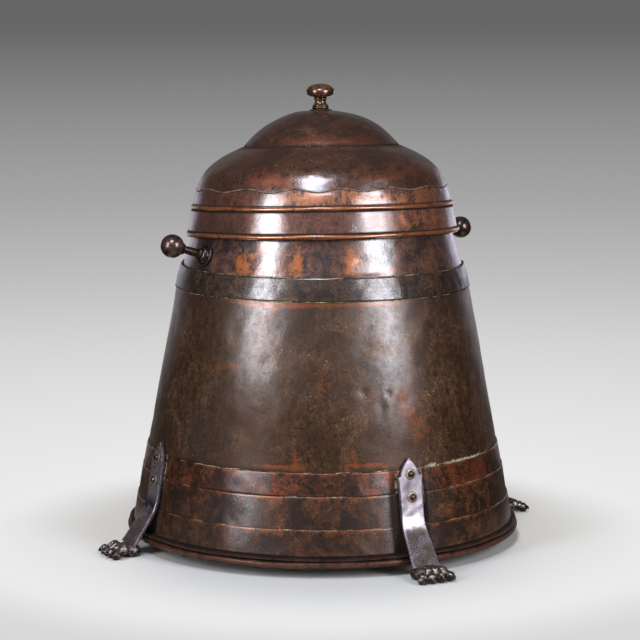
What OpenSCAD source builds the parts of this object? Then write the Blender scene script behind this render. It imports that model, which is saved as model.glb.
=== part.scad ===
// Lidded copper coal bin with ball lug handles, on four strap legs with paw feet.
// Origin on the floor under the middle of the base, +Z up, handles along X. Millimetres.

/* [Body] */
// Outer radius of the body wall at its foot
foot_r = 236; // [200:1:260]
// Height of the wall's lower edge above the floor
foot_z = 26; // [22:0.5:32]
// Outer radius where body and neck meet, under the upper hoop
shoulder_r = 180.8; // [172:0.2:190]
// Height of the joint between body and neck
shoulder_z = 333; // [315:1:340]
// How far the body bulges past a straight cone
belly = 1.5; // [0:0.1:4]
// How far the neck draws in past a straight cone
neck_dip = 1.5; // [0:0.1:4]
// Thickness of the body and neck sheet
wall = 1.6; // [1.2:0.1:2.4]
// Radius to the middle of the rolled mouth
mouth_r = 154; // [146:0.5:156]
// Height of neck that shows between the upper hoop and the lid's low side
neck_show = 28.7; // [26:0.1:36]
// Thickness of the rolled mouth
roll_d = 6; // [5:0.5:7]
// Thickness of the sheet where it is rolled round its wire
roll_wall = 1.1; // [0.8:0.1:1.5]

/* [Hoops] */
// Thickness of the hoops and foot strips
band_t = 1.2; // [0.8:0.1:2]
// Height of the upper hoop
upper_band_w = 27; // [18:0.5:34]
// Height of the lower hoop
lower_band_w = 27; // [18:0.5:34]
// Middle of the lower hoop above the floor
lower_band_z = 108; // [100:1:116]
// Width of the lap where a hoop's ends cross
lap_w = 14; // [6:1:30]
// Direction of the lap on the upper hoop
upper_lap_az = 270; // [0:5:355]
// Direction of the lap on the lower hoop
lower_lap_az = 130; // [0:5:355]
// Top of the lower foot strips above the floor
strip_split_z = 56.5; // [48:0.5:64]
// Gap between a foot strip's first end and the leg's edge
strip_gap_near = 2; // [1:0.5:6]
// Gap between a foot strip's far end and the next leg's edge
strip_gap_far = 10; // [2:0.5:16]

/* [Base] */
// How far the turned-out flange reaches past the wall's foot
flange_w = 10; // [6:0.5:13]
// How far the flange's outer edge droops
flange_droop = 2.2; // [0:0.2:3]
// Thickness of the flange and the base plate
base_t = 1.6; // [1.2:0.1:2]
// Height of the flange's collar inside the wall
collar_h = 14; // [6:1:20]
// How far the base plate's rolled rim reaches past the flange
rim_out = 1.5; // [0:0.5:3]
// Thickness of the rolled rim
rim_d = 9; // [7:0.5:10]
// Gap between the flange's edge and the rolled rim
rim_gap = 0.8; // [0.4:0.1:1.2]

/* [Legs] */
// Turn of the legs from the handle line
leg_turn = -6.5; // [-15:0.5:15]
// Width of the strap at its shoulders
strap_w = 33.6; // [26:0.2:38]
// Width of the strap at its waist
strap_waist_w = 29; // [20:0.5:32]
// Width of the strap at the paw
strap_foot_w = 33; // [24:0.5:36]
// Thickness of the strap
strap_t = 4.6; // [3:0.2:6]
// Height of the strap's tip
strap_tip_z = 135.5; // [130:0.5:145]
// Height where the strap starts to bend outwards
bend_z = 70; // [60:1:78]
// Radius of the bend at the strap's inner face
bend_r = 60; // [40:1:80]
// Slope of the strap's lower end from upright
splay = 36; // [28:1:40]
// Height where the strap ends in the paw
strap_end_z = 12; // [10:0.5:14]
// Distance from the strap's tip down to its upper rivet
rivet_drop = 19; // [16:0.5:24]
// Distance from the upper rivet down to the lower one
rivet_pitch = 27; // [20:0.5:32]
// Diameter of the rivet heads
rivet_head_d = 8; // [6:0.5:10]
// Diameter of the rivet shanks
rivet_d = 4.6; // [3:0.2:5.4]
// Diameter of the roves under the rivet heads
rove_d = 13.6; // [11:0.2:16]
// Thickness of the roves
rove_t = 1; // [0.6:0.1:1.6]

/* [Paws] */
// Height of the paw's pad
pad_h = 15; // [13:0.5:18]
// Diameter of the paw's pad
pad_d = 46; // [38:1:50]
// Length of a toe from the pad's middle
toe_l = 33; // [28:1:36]
// Thickness of a toe at its knuckle
toe_d = 16; // [13:0.5:18]
// Angle between neighbouring toes
toe_step = 15; // [8:1:20]
// Distance between the roots of neighbouring toes
toe_pitch = 6; // [4:0.5:8]

/* [Handles] */
// Gap between a handle's rose and the lid's skirt over it
rose_gap = 2.8; // [1:0.1:4]
// Distance from the neck to the middle of the ball
handle_reach = 48.5; // [40:0.5:60]
// Diameter of the ball
ball_d = 28.5; // [22:0.5:34]
// Thickness of the handle's stalk beside the ball
stalk_d = 9.6; // [7:0.2:12]
// Diameter of the domed rose on the neck
rose_d = 27; // [22:0.5:30]
// Height of the domed rose
rose_h = 6; // [4:0.5:8]
// Diameter of the handle's shank through the neck
shank_d = 8; // [5:0.5:9]

/* [Lid] */
// Height of the rolled mouth over the middle of the dome's round zone
seat_h = 47.6; // [42:0.1:54]
// Thickness of the lid's sheet
lid_t = 1.4; // [1:0.1:2]
// Height from the skirt's edge up to the middle of the round zone
skirt_drop = 2; // [0:0.5:4]
// Height of the joint between skirt and dome over the middle of the round zone
skirt_top = 33.4; // [28:0.2:38]
// Height of the brazed seam over the middle of the round zone
seam_h = 55; // [50:0.5:58]
// Height of the ledge that carries the raised cap
ledge_h = 106.5; // [98:0.5:112]
// Outer radius of the raised cap
cap_r = 97.4; // [85:0.2:105]
// Height of the raised cap
cap_h = 46; // [30:0.5:56]
// Thickness of the half-round beads on the lid
bead_d = 5.2; // [4:0.2:6]
// How far the beads stand out of the sheet
bead_proud = 1.9; // [1:0.1:2.4]
// Lean of the lid as it sits on the rolled mouth
lean = 3; // [0:0.1:3]
// Direction of the lid's low side
lean_az = 75; // [0:5:355]
// Number of waves in the brazed seam
seam_waves = 15; // [8:1:24]
// Height of a wave from its middle line
seam_amp = 2.2; // [0.5:0.1:4]
// Thickness of the braze along the seam
braze_d = 1.4; // [1:0.1:2]

/* [Knob] */
// Diameter of the knob's head
knob_d = 36.6; // [28:0.2:44]
// Height of the knob over the cap
knob_h = 31.6; // [26:0.2:38]
// Diameter of the knob's waist
knob_waist_d = 15.7; // [12:0.1:18]
// Diameter of the ring at the knob's foot
knob_ring_d = 22; // [19:0.2:26]
// Diameter of the knob's screw
screw_d = 6; // [4:0.5:8]
// Length of the screw inside the lid
screw_l = 14; // [11:0.5:20]
// Diameter of the washer inside the lid
washer_d = 20; // [18:0.5:26]
// Thickness of the washer inside the lid
washer_t = 1.5; // [1:0.1:2]
// Width of the square nut inside the lid
nut_w = 11; // [9:0.5:14]
// Height of the nut
nut_h = 5; // [4:0.5:7]

/* [Fits] */
// Film of solder between sheets
solder = 0.1; // [0.05:0.05:0.2]
// Gap between the lid and the rolled mouth
seat_gap = 0.3; // [0.2:0.05:0.5]
// Gap between the lid's skirt and the body at the lid's low side
lid_clear = 0.6; // [0.5:0.1:1.5]
// Gap round rivets, wires and screws
fit = 0.15; // [0.1:0.05:0.3]

/* [Hidden] */
$fn = 96;
LEGS = 4;
wall_steps = 12;
curve_steps = 12;
seam_rings = 180;
seam_sides = 6;

leg_step = 360 / LEGS;
wire_d = roll_d - 2 * (roll_wall + fit);
wire_room_d = wire_d + 2 * fit;
rim_wire_d = rim_d - 2 * (base_t + fit);
through_h = 40;
washer_sag = 0.6;
rove_in_t = 2;
upper_band_top = shoulder_z + upper_band_w / 2;

dome_r = sqrt(mouth_r * mouth_r + seat_h * seat_h) + roll_d / 2 + seat_gap + lid_t;
lip_low_z = upper_band_top + neck_show;
lid_z = lip_low_z + skirt_drop + dome_r * sin(lean);
mouth_z = lid_z + seat_h;
neck_top_r = mouth_r - roll_d / 2 + wall + 2 * solder;
skirt_in_r = (outline_r(lip_low_z) + lid_clear) / cos(lean) + skirt_drop * tan(lean);
cap_z = ledge_h + solder;
knob_z = cap_z + cap_h;

flange_r = foot_r + flange_w;
rim_r = flange_r + rim_out;
rim_mid_r = rim_r - rim_d / 2;
rim_mid_z = foot_z - solder - base_t - flange_droop - rim_gap - rim_d / 2;
base_top_z = foot_z - base_t - 2 * solder;
strip_top_z = lower_band_z - lower_band_w / 2;

rivet_z_upper = strap_tip_z - rivet_drop;
rivet_z_lower = rivet_z_upper - rivet_pitch;
wall_slope = (wall_r(bend_z) - wall_r(strap_tip_z)) / (strap_tip_z - bend_z);
wall_lean = atan(wall_slope);
strap_in_r = wall_r(lower_band_z) + band_t + 3 * solder;

lip_at_handle_z = lid_z - skirt_drop - dome_r * sin(lean) * abs(cos(lean_az));
handle_z = lip_at_handle_z - rose_gap - rose_d / 2;
handle_rise = atan((outline_r(handle_z - 4) - outline_r(handle_z + 4)) / 8);

// Outer radius of the body wall at a height
function wall_r(z) =
    let (v = (z - foot_z) / (shoulder_z - foot_z))
    foot_r + (shoulder_r - foot_r) * v + belly * 4 * v * (1 - v);

// Outer radius of the neck at a height
function neck_r(z) =
    let (u = (z - shoulder_z) / (mouth_z - shoulder_z))
    shoulder_r + (neck_top_r - shoulder_r) * u - neck_dip * 4 * u * (1 - u);

function outline_r(z) = z < shoulder_z ? wall_r(z) : neck_r(z);

function dome_at(h) = sqrt(dome_r * dome_r - h * h);

function skirt_r(h) =
    let (low = skirt_in_r + lid_t, v = (h + skirt_drop) / (skirt_top + skirt_drop))
    low + (dome_at(skirt_top) - low) * v;

// Points along a curve pulled by two inner points
function curve(a, b, c, d, steps = curve_steps) = [
    for (i = [0:steps])
        let (t = i / steps, s = 1 - t)
        s * s * s * a + 3 * s * s * t * b + 3 * s * t * t * c + t * t * t * d
];

function reversed(points) = [for (i = [len(points) - 1:-1:0]) points[i]];

// Unit normal to the left of an open line at one of its points
function side_of(points, i) =
    let (
        a = points[max(i - 1, 0)],
        b = points[min(i + 1, len(points) - 1)],
        d = b - a
    )
    [-d[1], d[0]] / norm(d);

// Closed outline of a sheet of thickness t to the left of a line
function sheet(points, t) = concat(
    points,
    reversed([for (i = [0:len(points) - 1]) points[i] + t * side_of(points, i)])
);

// Ring that follows the body's outline, between two offsets from its outer face
module hoop(z_low, z_high, inner, outer, steps = wall_steps, turn = 360) {
    heights = [for (i = [0:steps]) z_low + (z_high - z_low) * i / steps];
    rotate_extrude(angle = turn)
        polygon(concat(
            [for (z = heights) [outline_r(z) + outer, z]],
            [for (z = reversed(heights)) [outline_r(z) + inner, z]]
        ));
}

module ring(r, z, d) {
    rotate_extrude()
        translate([r, z])
            circle(d = d);
}

// Puts a leg's parts at its place round the body
module at_leg(i) {
    rotate([0, 0, leg_turn + leg_step * (i - 1)])
        children();
}

// Local Z becomes the outward normal of the wall at a rivet
module at_rivet(z) {
    translate([strap_in_r + (lower_band_z - z) * wall_slope, 0, z])
        rotate([0, 90 - wall_lean, 0])
            children();
}

module each_rivet() {
    for (i = [1:LEGS], z = [rivet_z_upper, rivet_z_lower])
        at_leg(i)
            at_rivet(z)
                children();
}

// Local Z becomes the handle's axis, with the neck's outer face at zero
module at_handle(turn) {
    rotate([0, 0, turn])
        translate([outline_r(handle_z), 0, handle_z])
            rotate([0, 90 - handle_rise, 0])
                children();
}

module rivet_holes() {
    each_rivet()
        cylinder(d = rivet_d + 2 * fit, h = through_h, center = true);
}

// The lid's own frame has its origin in the middle of its round zone
module lid_place() {
    translate([0, 0, lid_z])
        rotate([0, 0, lean_az])
            rotate([0, lean, 0])
                rotate([0, 0, -lean_az])
                    children();
}

module body_wall() {
    color("#5b3a2c")
        difference() {
            hoop(foot_z, shoulder_z, -wall, 0);
            rivet_holes();
        }
}

module neck() {
    color("#7d4630")
        difference() {
            union() {
                hoop(shoulder_z + solder, mouth_z, -wall, 0);
                ring(mouth_r, mouth_z, roll_d);
            }
            ring(mouth_r, mouth_z, wire_room_d);
            for (turn = [0, 180])
                at_handle(turn)
                    cylinder(d = shank_d + 2 * fit, h = through_h, center = true);
        }
}

module mouth_wire() {
    color("#4a4744")
        ring(mouth_r, mouth_z, wire_d);
}

// Hoop with a lap where its ends cross
module band(middle, height, lap_az) {
    low = middle - height / 2;
    high = middle + height / 2;
    lap_turn = lap_w / outline_r(middle) * 180 / PI;
    hoop(low, high, solder, solder + band_t, 4);
    rotate([0, 0, lap_az - lap_turn / 2])
        hoop(low, high, solder + band_t / 2, solder + 2 * band_t, 4, lap_turn);
}

module upper_band() {
    color("#3a2620")
        band(shoulder_z, upper_band_w, upper_lap_az);
}

module lower_band() {
    color("#4e2a20")
        difference() {
            band(lower_band_z, lower_band_w, lower_lap_az);
            rivet_holes();
        }
}

// One strip of the stepped foot, from just past one leg to just short of the next
module foot_strip(i, z_low, z_high, inner, outer) {
    half = strap_w / 2;
    first = (half + strip_gap_near) / foot_r * 180 / PI;
    last = (half + strip_gap_far) / foot_r * 180 / PI;
    at_leg(i)
        rotate([0, 0, first])
            hoop(z_low, z_high, inner, outer, 3, leg_step - first - last);
}

module foot_strip_upper(i) {
    color("#6d432f")
        foot_strip(i, strip_split_z - 10, strip_top_z - solder, solder, 2 * solder + 2 * band_t);
}

module foot_strip_lower(i) {
    low = foot_z + solder;
    inner = 3 * solder + 2 * band_t;
    color("#5a3428")
        foot_strip(i, low, strip_split_z, inner, inner + band_t);
}

module foot_flange() {
    inside = foot_r - wall - solder;
    top = foot_z - solder;
    collar_in = foot_r - wall_r(foot_z + collar_h);
    color("#5a372e")
        rotate_extrude()
            polygon([
                [inside - base_t - collar_in, top + collar_h],
                [inside - base_t, top - base_t],
                [foot_r + 2, top - base_t],
                [flange_r, top - base_t - flange_droop],
                [flange_r, top - flange_droop],
                [foot_r + 2, top],
                [inside, top],
                [inside - collar_in, top + collar_h]
            ]);
}

module base_plate() {
    bend = rim_mid_r - rim_d;
    color("#6a3b2a")
        difference() {
            rotate_extrude()
                union() {
                    polygon([
                        [0, base_top_z - base_t],
                        [bend, base_top_z - base_t],
                        [rim_mid_r - 1, rim_mid_z],
                        [rim_mid_r + 1, rim_mid_z + 1],
                        [bend + 1, base_top_z],
                        [0, base_top_z]
                    ]);
                    translate([rim_mid_r, rim_mid_z])
                        circle(d = rim_d);
                }
            ring(rim_mid_r, rim_mid_z, rim_wire_d + 2 * fit);
        }
}

module base_rim_wire() {
    color("#4a4744")
        ring(rim_mid_r, rim_mid_z, rim_wire_d);
}

// Line of the strap's inner face, from its tip down to the paw
function strap_line() =
    let (
        x_at = function (z) strap_in_r + (lower_band_z - z) * wall_slope,
        start = [x_at(bend_z), bend_z],
        bent = [
            for (i = [0:8])
                let (a = wall_lean + (splay - wall_lean) * i / 8)
                start + bend_r * [cos(wall_lean) - cos(a), sin(wall_lean) - sin(a)]
        ],
        last = bent[8],
        drop = last[1] - strap_end_z
    )
    concat([[x_at(strap_tip_z), strap_tip_z]], bent, [last + [drop * tan(splay), -drop]]);

// Half of the strap's face, as distance from its middle and height
function strap_half() =
    let (spur_z = rivet_z_upper - 3, neck_w = strap_w * 0.37)
    concat(
        curve(
            [0, strap_tip_z],
            [neck_w * 0.3, strap_tip_z - 4],
            [neck_w * 0.85, strap_tip_z - 10],
            [neck_w, spur_z + 2],
            6
        ),
        [[strap_w / 2, spur_z]],
        curve(
            [strap_w / 2 - 0.6, spur_z - 5],
            [strap_waist_w / 2, bend_z - 4],
            [strap_waist_w / 2, bend_z - 30],
            [strap_foot_w / 2, strap_end_z],
            8
        )
    );

module strap_side(grow = 0) {
    line = strap_line();
    last = len(line) - 1;
    polygon(sheet([for (i = [0:last]) line[i] - grow * side_of(line, i)], strap_t + 2 * grow));
}

module leg_strap(i) {
    half = strap_half();
    line = strap_line();
    reach = line[len(line) - 1][0] + 2 * strap_t;
    color("#6f6560")
        at_leg(i)
            difference() {
                intersection() {
                    rotate([90, 0, 0])
                        linear_extrude(height = strap_w + 2, center = true)
                            strap_side();
                    rotate([90, 0, 90])
                        linear_extrude(height = reach)
                            polygon(concat(half, reversed([for (p = half) [-p[0], p[1]]])));
                }
                for (z = [rivet_z_upper, rivet_z_lower])
                    at_rivet(z)
                        cylinder(d = rivet_d + 2 * fit, h = through_h, center = true);
            }
}

// Pad of the paw, a low dome on a flat sole
module pad() {
    edge = pad_d / 2;
    hull() {
        for (side = [-1, 1])
            translate([0, side * (edge - pad_h / 2), pad_h * 0.4])
                sphere(d = pad_h);
        translate([edge - pad_h, 0, pad_h * 0.5])
            sphere(d = pad_h);
        translate([-edge * 0.4, 0, pad_h * 0.3])
            sphere(d = pad_h);
    }
}

// One toe with its knuckle, a hollow behind the claw and the claw
module toe() {
    knuckle = toe_l * 0.55;
    hull() {
        sphere(d = toe_d * 0.7);
        translate([knuckle, 0, toe_d * 0.05])
            sphere(d = toe_d);
    }
    hull() {
        translate([knuckle, 0, -toe_d * 0.1])
            sphere(d = toe_d * 0.8);
        translate([toe_l - toe_d * 0.3, 0, -toe_d * 0.15])
            sphere(d = toe_d * 0.6);
    }
}

// Cast paw of a pad and four toes, with a low collar round the strap's end
module paw(i) {
    line = strap_line();
    foot = line[len(line) - 1];
    middle = foot[0] + strap_t;
    collar_w = strap_foot_w + 4;
    collar_top = strap_end_z + 5;
    reach = toe_l + pad_d;
    color("#54453a")
        at_leg(i)
            difference() {
                intersection() {
                    union() {
                        translate([middle, 0, 0])
                            pad($fn = 16);
                        for (k = [-1.5:1:1.5])
                            translate([middle, k * toe_pitch, toe_d * 0.42])
                                rotate([0, 4, k * toe_step])
                                    toe($fn = 16);
                        translate([foot[0] - 7, -collar_w / 2, 0])
                            cube([strap_t + 12, collar_w, collar_top]);
                    }
                    translate([middle - reach / 2, -reach / 2, 0])
                        cube(reach);
                }
                rotate([90, 0, 0])
                    linear_extrude(height = strap_foot_w + 2 * fit, center = true)
                        strap_side(fit);
            }
}

// Shank through strap, hoop and wall, with a domed head outside and a peened one inside
module leg_rivets() {
    head_z = strap_t + rove_t + 2 * fit;
    inside_z = -(band_t + wall + 5 * solder + fit);
    color("#3c342f")
        each_rivet()
            union() {
                translate([0, 0, inside_z])
                    cylinder(d = rivet_d, h = head_z - inside_z + 0.5);
                translate([0, 0, head_z])
                    intersection() {
                        translate([0, 0, rivet_head_d * 0.38 - rivet_head_d * 0.52])
                            sphere(d = rivet_head_d * 1.04);
                        cylinder(d = rivet_head_d * 1.2, h = rivet_head_d);
                    }
                translate([0, 0, inside_z - 1.8])
                    cylinder(d1 = rivet_d, d2 = rivet_head_d, h = 2);
            }
}

module leg_rivet_roves() {
    color("#8a7a64")
        each_rivet()
            translate([0, 0, strap_t + fit])
                difference() {
                    cylinder(d1 = rove_d, d2 = rove_d - 2 * rove_t, h = rove_t);
                    cylinder(d = rivet_d + 2 * fit, h = 4 * rove_t, center = true);
                }
}

// Ball, stalk and shank turned in one piece
module handle(turn) {
    inside = -(wall + 6);
    stalk_low = rose_h + solder;
    stalk_top = handle_reach - ball_d / 2;
    r = stalk_d / 2;
    color("#3d2f28")
        at_handle(turn)
            union() {
                translate([0, 0, inside])
                    cylinder(d = shank_d, h = stalk_low - inside + 1);
                rotate_extrude()
                    polygon(concat(
                        [[0, stalk_low], [r * 1.7, stalk_low]],
                        [[r * 1.85, stalk_low + 1.5], [r * 1.7, stalk_low + 3]],
                        curve(
                            [r * 1.5, stalk_low + 4],
                            [r * 1.3, stalk_low + 9],
                            [r, stalk_top - 12],
                            [r, stalk_top - 3],
                            8
                        ),
                        [[r * 1.45, stalk_top - 2], [r * 1.45, stalk_top + 1.2], [0, stalk_top + 1.2]]
                    ));
                translate([0, 0, handle_reach])
                    sphere(d = ball_d);
            }
}

module handle_rose(turn) {
    edge = rose_d / 2;
    color("#463730")
        at_handle(turn)
            difference() {
                rotate_extrude()
                    polygon(concat(
                        [[0, solder], [edge - 0.6, solder], [edge, solder + 0.8], [edge - 0.8, solder + 2]],
                        curve(
                            [edge - 2, solder + 2.2],
                            [edge - 3, rose_h * 0.8],
                            [edge - 5, rose_h],
                            [shank_d / 2 + 1.5, rose_h],
                            8
                        ),
                        [[0, rose_h]]
                    ));
                cylinder(d = shank_d + 2 * fit, h = 4 * rose_h, center = true);
            }
}

// Washers inside the neck, on the peened ends of the handles' shanks
module handle_roves() {
    r = rose_d * 0.42;
    sag = r * r / (2 * outline_r(handle_z) - 2 * wall);
    color("#6b5a45")
        for (turn = [0, 180])
            at_handle(turn)
                translate([0, 0, -(wall + sag + fit + rove_in_t)])
                    difference() {
                        cylinder(r = r, h = rove_in_t);
                        cylinder(d = shank_d + 2 * fit, h = through_h, center = true);
                    }
}

module lid_skirt() {
    color("#8a5540")
        lid_place()
            rotate_extrude()
                polygon([
                    [skirt_r(-skirt_drop) - lid_t, -skirt_drop],
                    [skirt_r(-skirt_drop), -skirt_drop],
                    [skirt_r(skirt_top), skirt_top - solder],
                    [skirt_r(skirt_top) - lid_t, skirt_top - solder]
                ]);
}

// Half-round bead outside the lid's sheet at a height
module lid_bead(h, sheet_r, above_r, below_r) {
    reach = bead_d;
    rotate_extrude()
        difference() {
            translate([sheet_r + bead_proud - bead_d / 2, h])
                circle(d = bead_d);
            polygon([
                [0, h - reach],
                [below_r + solder, h - reach],
                [sheet_r + solder, h],
                [above_r + solder, h + reach],
                [0, h + reach]
            ]);
        }
}

module lid_bead_lower() {
    h = bead_d / 2 - skirt_drop;
    color("#96593a")
        lid_place()
            lid_bead(h, skirt_r(h), skirt_r(h + bead_d), skirt_r(h - bead_d));
}

module lid_bead_upper() {
    color("#96593a")
        lid_place()
            lid_bead(
                skirt_top,
                skirt_r(skirt_top),
                dome_at(skirt_top + bead_d),
                skirt_r(skirt_top - bead_d)
            );
}

module lid_collar() {
    color("#6b4030")
        lid_place()
            rotate_extrude()
                intersection() {
                    difference() {
                        circle(r = dome_r);
                        circle(r = dome_r - lid_t);
                    }
                    translate([0, skirt_top])
                        square([dome_r + 1, seam_h - skirt_top]);
                }
}

// Outer line of the dome from the seam up to the ledge under the cap
function dome_line() =
    let (
        turn_h = seam_h + 11,
        start = [dome_at(turn_h), turn_h],
        along = [-turn_h, dome_at(turn_h)] / dome_r,
        crease = [cap_r + 1, ledge_h],
        span = crease - start
    )
    concat(
        [for (i = [0:3]) let (h = seam_h + solder + (11 - solder) * i / 4) [dome_at(h), h]],
        curve(start, start + along * 22, crease - [span[0] * 0.41, 9], crease),
        [[cap_r - 8, ledge_h]]
    );

module lid_dome() {
    color("#553529")
        lid_place()
            rotate_extrude()
                polygon(sheet(dome_line(), lid_t));
}

// A bead of braze that waves along the joint of collar and dome
module lid_seam_braze() {
    rings = [
        for (i = [0:seam_rings - 1])
            let (
                a = 360 * i / seam_rings,
                wave = sin(round(seam_waves) * a + 50 * sin(3 * a)),
                h = seam_h + seam_amp * wave * (0.8 + 0.2 * sin(2 * a)),
                up = asin(h / dome_r),
                r = dome_r + solder + braze_d / 2
            )
            [for (k = [0:seam_sides - 1])
                let (
                    b = 360 * k / seam_sides,
                    out = r + braze_d / 2 * cos(b),
                    lift = up + braze_d / 2 * sin(b) / dome_r * 180 / PI
                )
                [out * cos(lift) * cos(a), out * cos(lift) * sin(a), out * sin(lift)]
            ]
    ];
    faces = [
        for (i = [0:seam_rings - 1], k = [0:seam_sides - 1])
            let (
                j = (i + 1) % seam_rings,
                m = (k + 1) % seam_sides,
                p = i * seam_sides + k,
                q = j * seam_sides + k,
                s = j * seam_sides + m,
                t = i * seam_sides + m
            )
            each [[p, q, s], [p, s, t]]
    ];
    color("#a08a68")
        lid_place()
            polyhedron([for (one = rings) each one], faces);
}

module lid_cap() {
    line = curve(
        [cap_r, cap_z],
        [cap_r - 1.5, cap_z + cap_h * 0.4],
        [cap_r * 0.7, cap_z + cap_h],
        [0, cap_z + cap_h],
        16
    );
    color("#5d3b2d")
        lid_place()
            difference() {
                rotate_extrude()
                    polygon([for (p = sheet(line, lid_t)) [max(p[0], 0), max(p[1], cap_z)]]);
                translate([0, 0, cap_z])
                    cylinder(d = screw_d + 2 * fit, h = 2 * cap_h);
            }
}

module lid_knob() {
    foot = knob_z + solder;
    ring_r = knob_ring_d / 2;
    waist = knob_waist_d / 2;
    head = knob_d / 2;
    color("#6a5238")
        lid_place()
            union() {
                translate([0, 0, knob_z - screw_l])
                    cylinder(d = screw_d, h = screw_l + 2);
                rotate_extrude()
                    polygon(concat(
                        [[0, foot], [ring_r - 2, foot], [ring_r, foot + 1.5], [ring_r, foot + 3]],
                        curve(
                            [ring_r - 1, foot + 4],
                            [waist, foot + 6],
                            [waist - 1, foot + knob_h * 0.4],
                            [head * 0.75, foot + knob_h * 0.48],
                            8
                        ),
                        curve(
                            [head * 0.9, foot + knob_h * 0.54],
                            [head * 1.16, foot + knob_h * 0.72],
                            [head * 0.8, foot + knob_h],
                            [0, foot + knob_h],
                            12
                        )
                    ));
            }
}

module lid_knob_washer() {
    color("#6b5a45")
        lid_place()
            translate([0, 0, knob_z - lid_t - washer_sag - washer_t])
                difference() {
                    cylinder(d = washer_d, h = washer_t);
                    cylinder(d = screw_d + 2 * fit, h = through_h, center = true);
                }
}

module lid_knob_nut() {
    color("#4a4744")
        lid_place()
            translate([0, 0, knob_z - lid_t - washer_sag - washer_t - solder - nut_h])
                difference() {
                    translate([-nut_w / 2, -nut_w / 2, 0])
                        cube([nut_w, nut_w, nut_h]);
                    cylinder(d = screw_d + 2 * fit, h = through_h, center = true);
                }
}

body_wall();
neck();
mouth_wire();
upper_band();
lower_band();
foot_strip_upper(1);  // foot_strip_upper_1
foot_strip_upper(2);  // foot_strip_upper_2
foot_strip_upper(3);  // foot_strip_upper_3
foot_strip_upper(4);  // foot_strip_upper_4
foot_strip_lower(1);  // foot_strip_lower_1
foot_strip_lower(2);  // foot_strip_lower_2
foot_strip_lower(3);  // foot_strip_lower_3
foot_strip_lower(4);  // foot_strip_lower_4
foot_flange();
base_plate();
base_rim_wire();
leg_strap(1);  // leg_strap_1
leg_strap(2);  // leg_strap_2
leg_strap(3);  // leg_strap_3
leg_strap(4);  // leg_strap_4
paw(1);  // paw_1
paw(2);  // paw_2
paw(3);  // paw_3
paw(4);  // paw_4
leg_rivets();
leg_rivet_roves();
handle(0);  // handle_right
handle(180);  // handle_left
handle_rose(0);  // handle_rose_right
handle_rose(180);  // handle_rose_left
handle_roves();
lid_skirt();
lid_bead_lower();
lid_bead_upper();
lid_collar();
lid_dome();
lid_seam_braze();
lid_cap();
lid_knob();
lid_knob_washer();
lid_knob_nut();
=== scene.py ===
# Lidded copper coal bin on four strap legs with paw feet: its looks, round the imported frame.
import math

import bpy
import numpy as np
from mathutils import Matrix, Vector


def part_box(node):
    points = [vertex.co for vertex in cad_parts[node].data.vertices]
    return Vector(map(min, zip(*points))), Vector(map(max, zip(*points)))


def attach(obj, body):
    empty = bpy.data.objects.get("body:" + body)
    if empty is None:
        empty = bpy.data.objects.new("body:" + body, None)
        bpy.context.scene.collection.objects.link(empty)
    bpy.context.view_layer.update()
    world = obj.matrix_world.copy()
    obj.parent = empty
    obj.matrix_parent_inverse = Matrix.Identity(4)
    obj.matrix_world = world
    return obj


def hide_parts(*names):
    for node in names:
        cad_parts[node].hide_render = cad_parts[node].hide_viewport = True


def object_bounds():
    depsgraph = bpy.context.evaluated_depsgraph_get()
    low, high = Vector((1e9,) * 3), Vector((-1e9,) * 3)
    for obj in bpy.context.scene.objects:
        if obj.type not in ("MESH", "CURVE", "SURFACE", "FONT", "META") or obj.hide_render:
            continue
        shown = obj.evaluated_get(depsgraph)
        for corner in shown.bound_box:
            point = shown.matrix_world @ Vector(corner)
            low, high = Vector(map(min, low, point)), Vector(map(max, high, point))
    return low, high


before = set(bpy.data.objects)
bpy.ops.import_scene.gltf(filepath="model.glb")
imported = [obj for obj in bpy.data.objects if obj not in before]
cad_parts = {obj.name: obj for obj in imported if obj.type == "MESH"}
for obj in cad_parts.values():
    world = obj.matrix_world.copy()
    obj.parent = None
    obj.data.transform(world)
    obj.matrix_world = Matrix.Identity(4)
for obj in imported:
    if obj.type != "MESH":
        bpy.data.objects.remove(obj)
cad_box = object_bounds()

# Millimetres are the script's own unit, and a mesh is made in metres
MM = 0.001
TAU = 2 * math.pi


def low(node):
    """Lowest corner of a CAD node's box, in millimetres"""
    return np.array(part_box(node)[0]) / MM


def high(node):
    """Highest corner of a CAD node's box, in millimetres"""
    return np.array(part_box(node)[1]) / MM


# Sizes that the frame gives
FOOT_R = high("body_wall")[0]
FOOT_Z = low("body_wall")[2]
SHOULDER_R = high("neck")[0]
SHOULDER_Z = high("body_wall")[2]
UPPER_HOOP = (low("upper_band")[2], high("upper_band")[2])
LOWER_HOOP = (low("lower_band")[2], high("lower_band")[2])
STRIP_SPLIT_Z = high("foot_strip_lower_1")[2]
FLANGE_R = high("foot_flange")[0]
RIM_R = high("base_plate")[0]
STRAP_TIP_Z = high("leg_strap_1")[2]
KNOB_TOP_Z = high("lid_knob")[2]
REACH = cad_box[1][0] / MM

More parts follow.
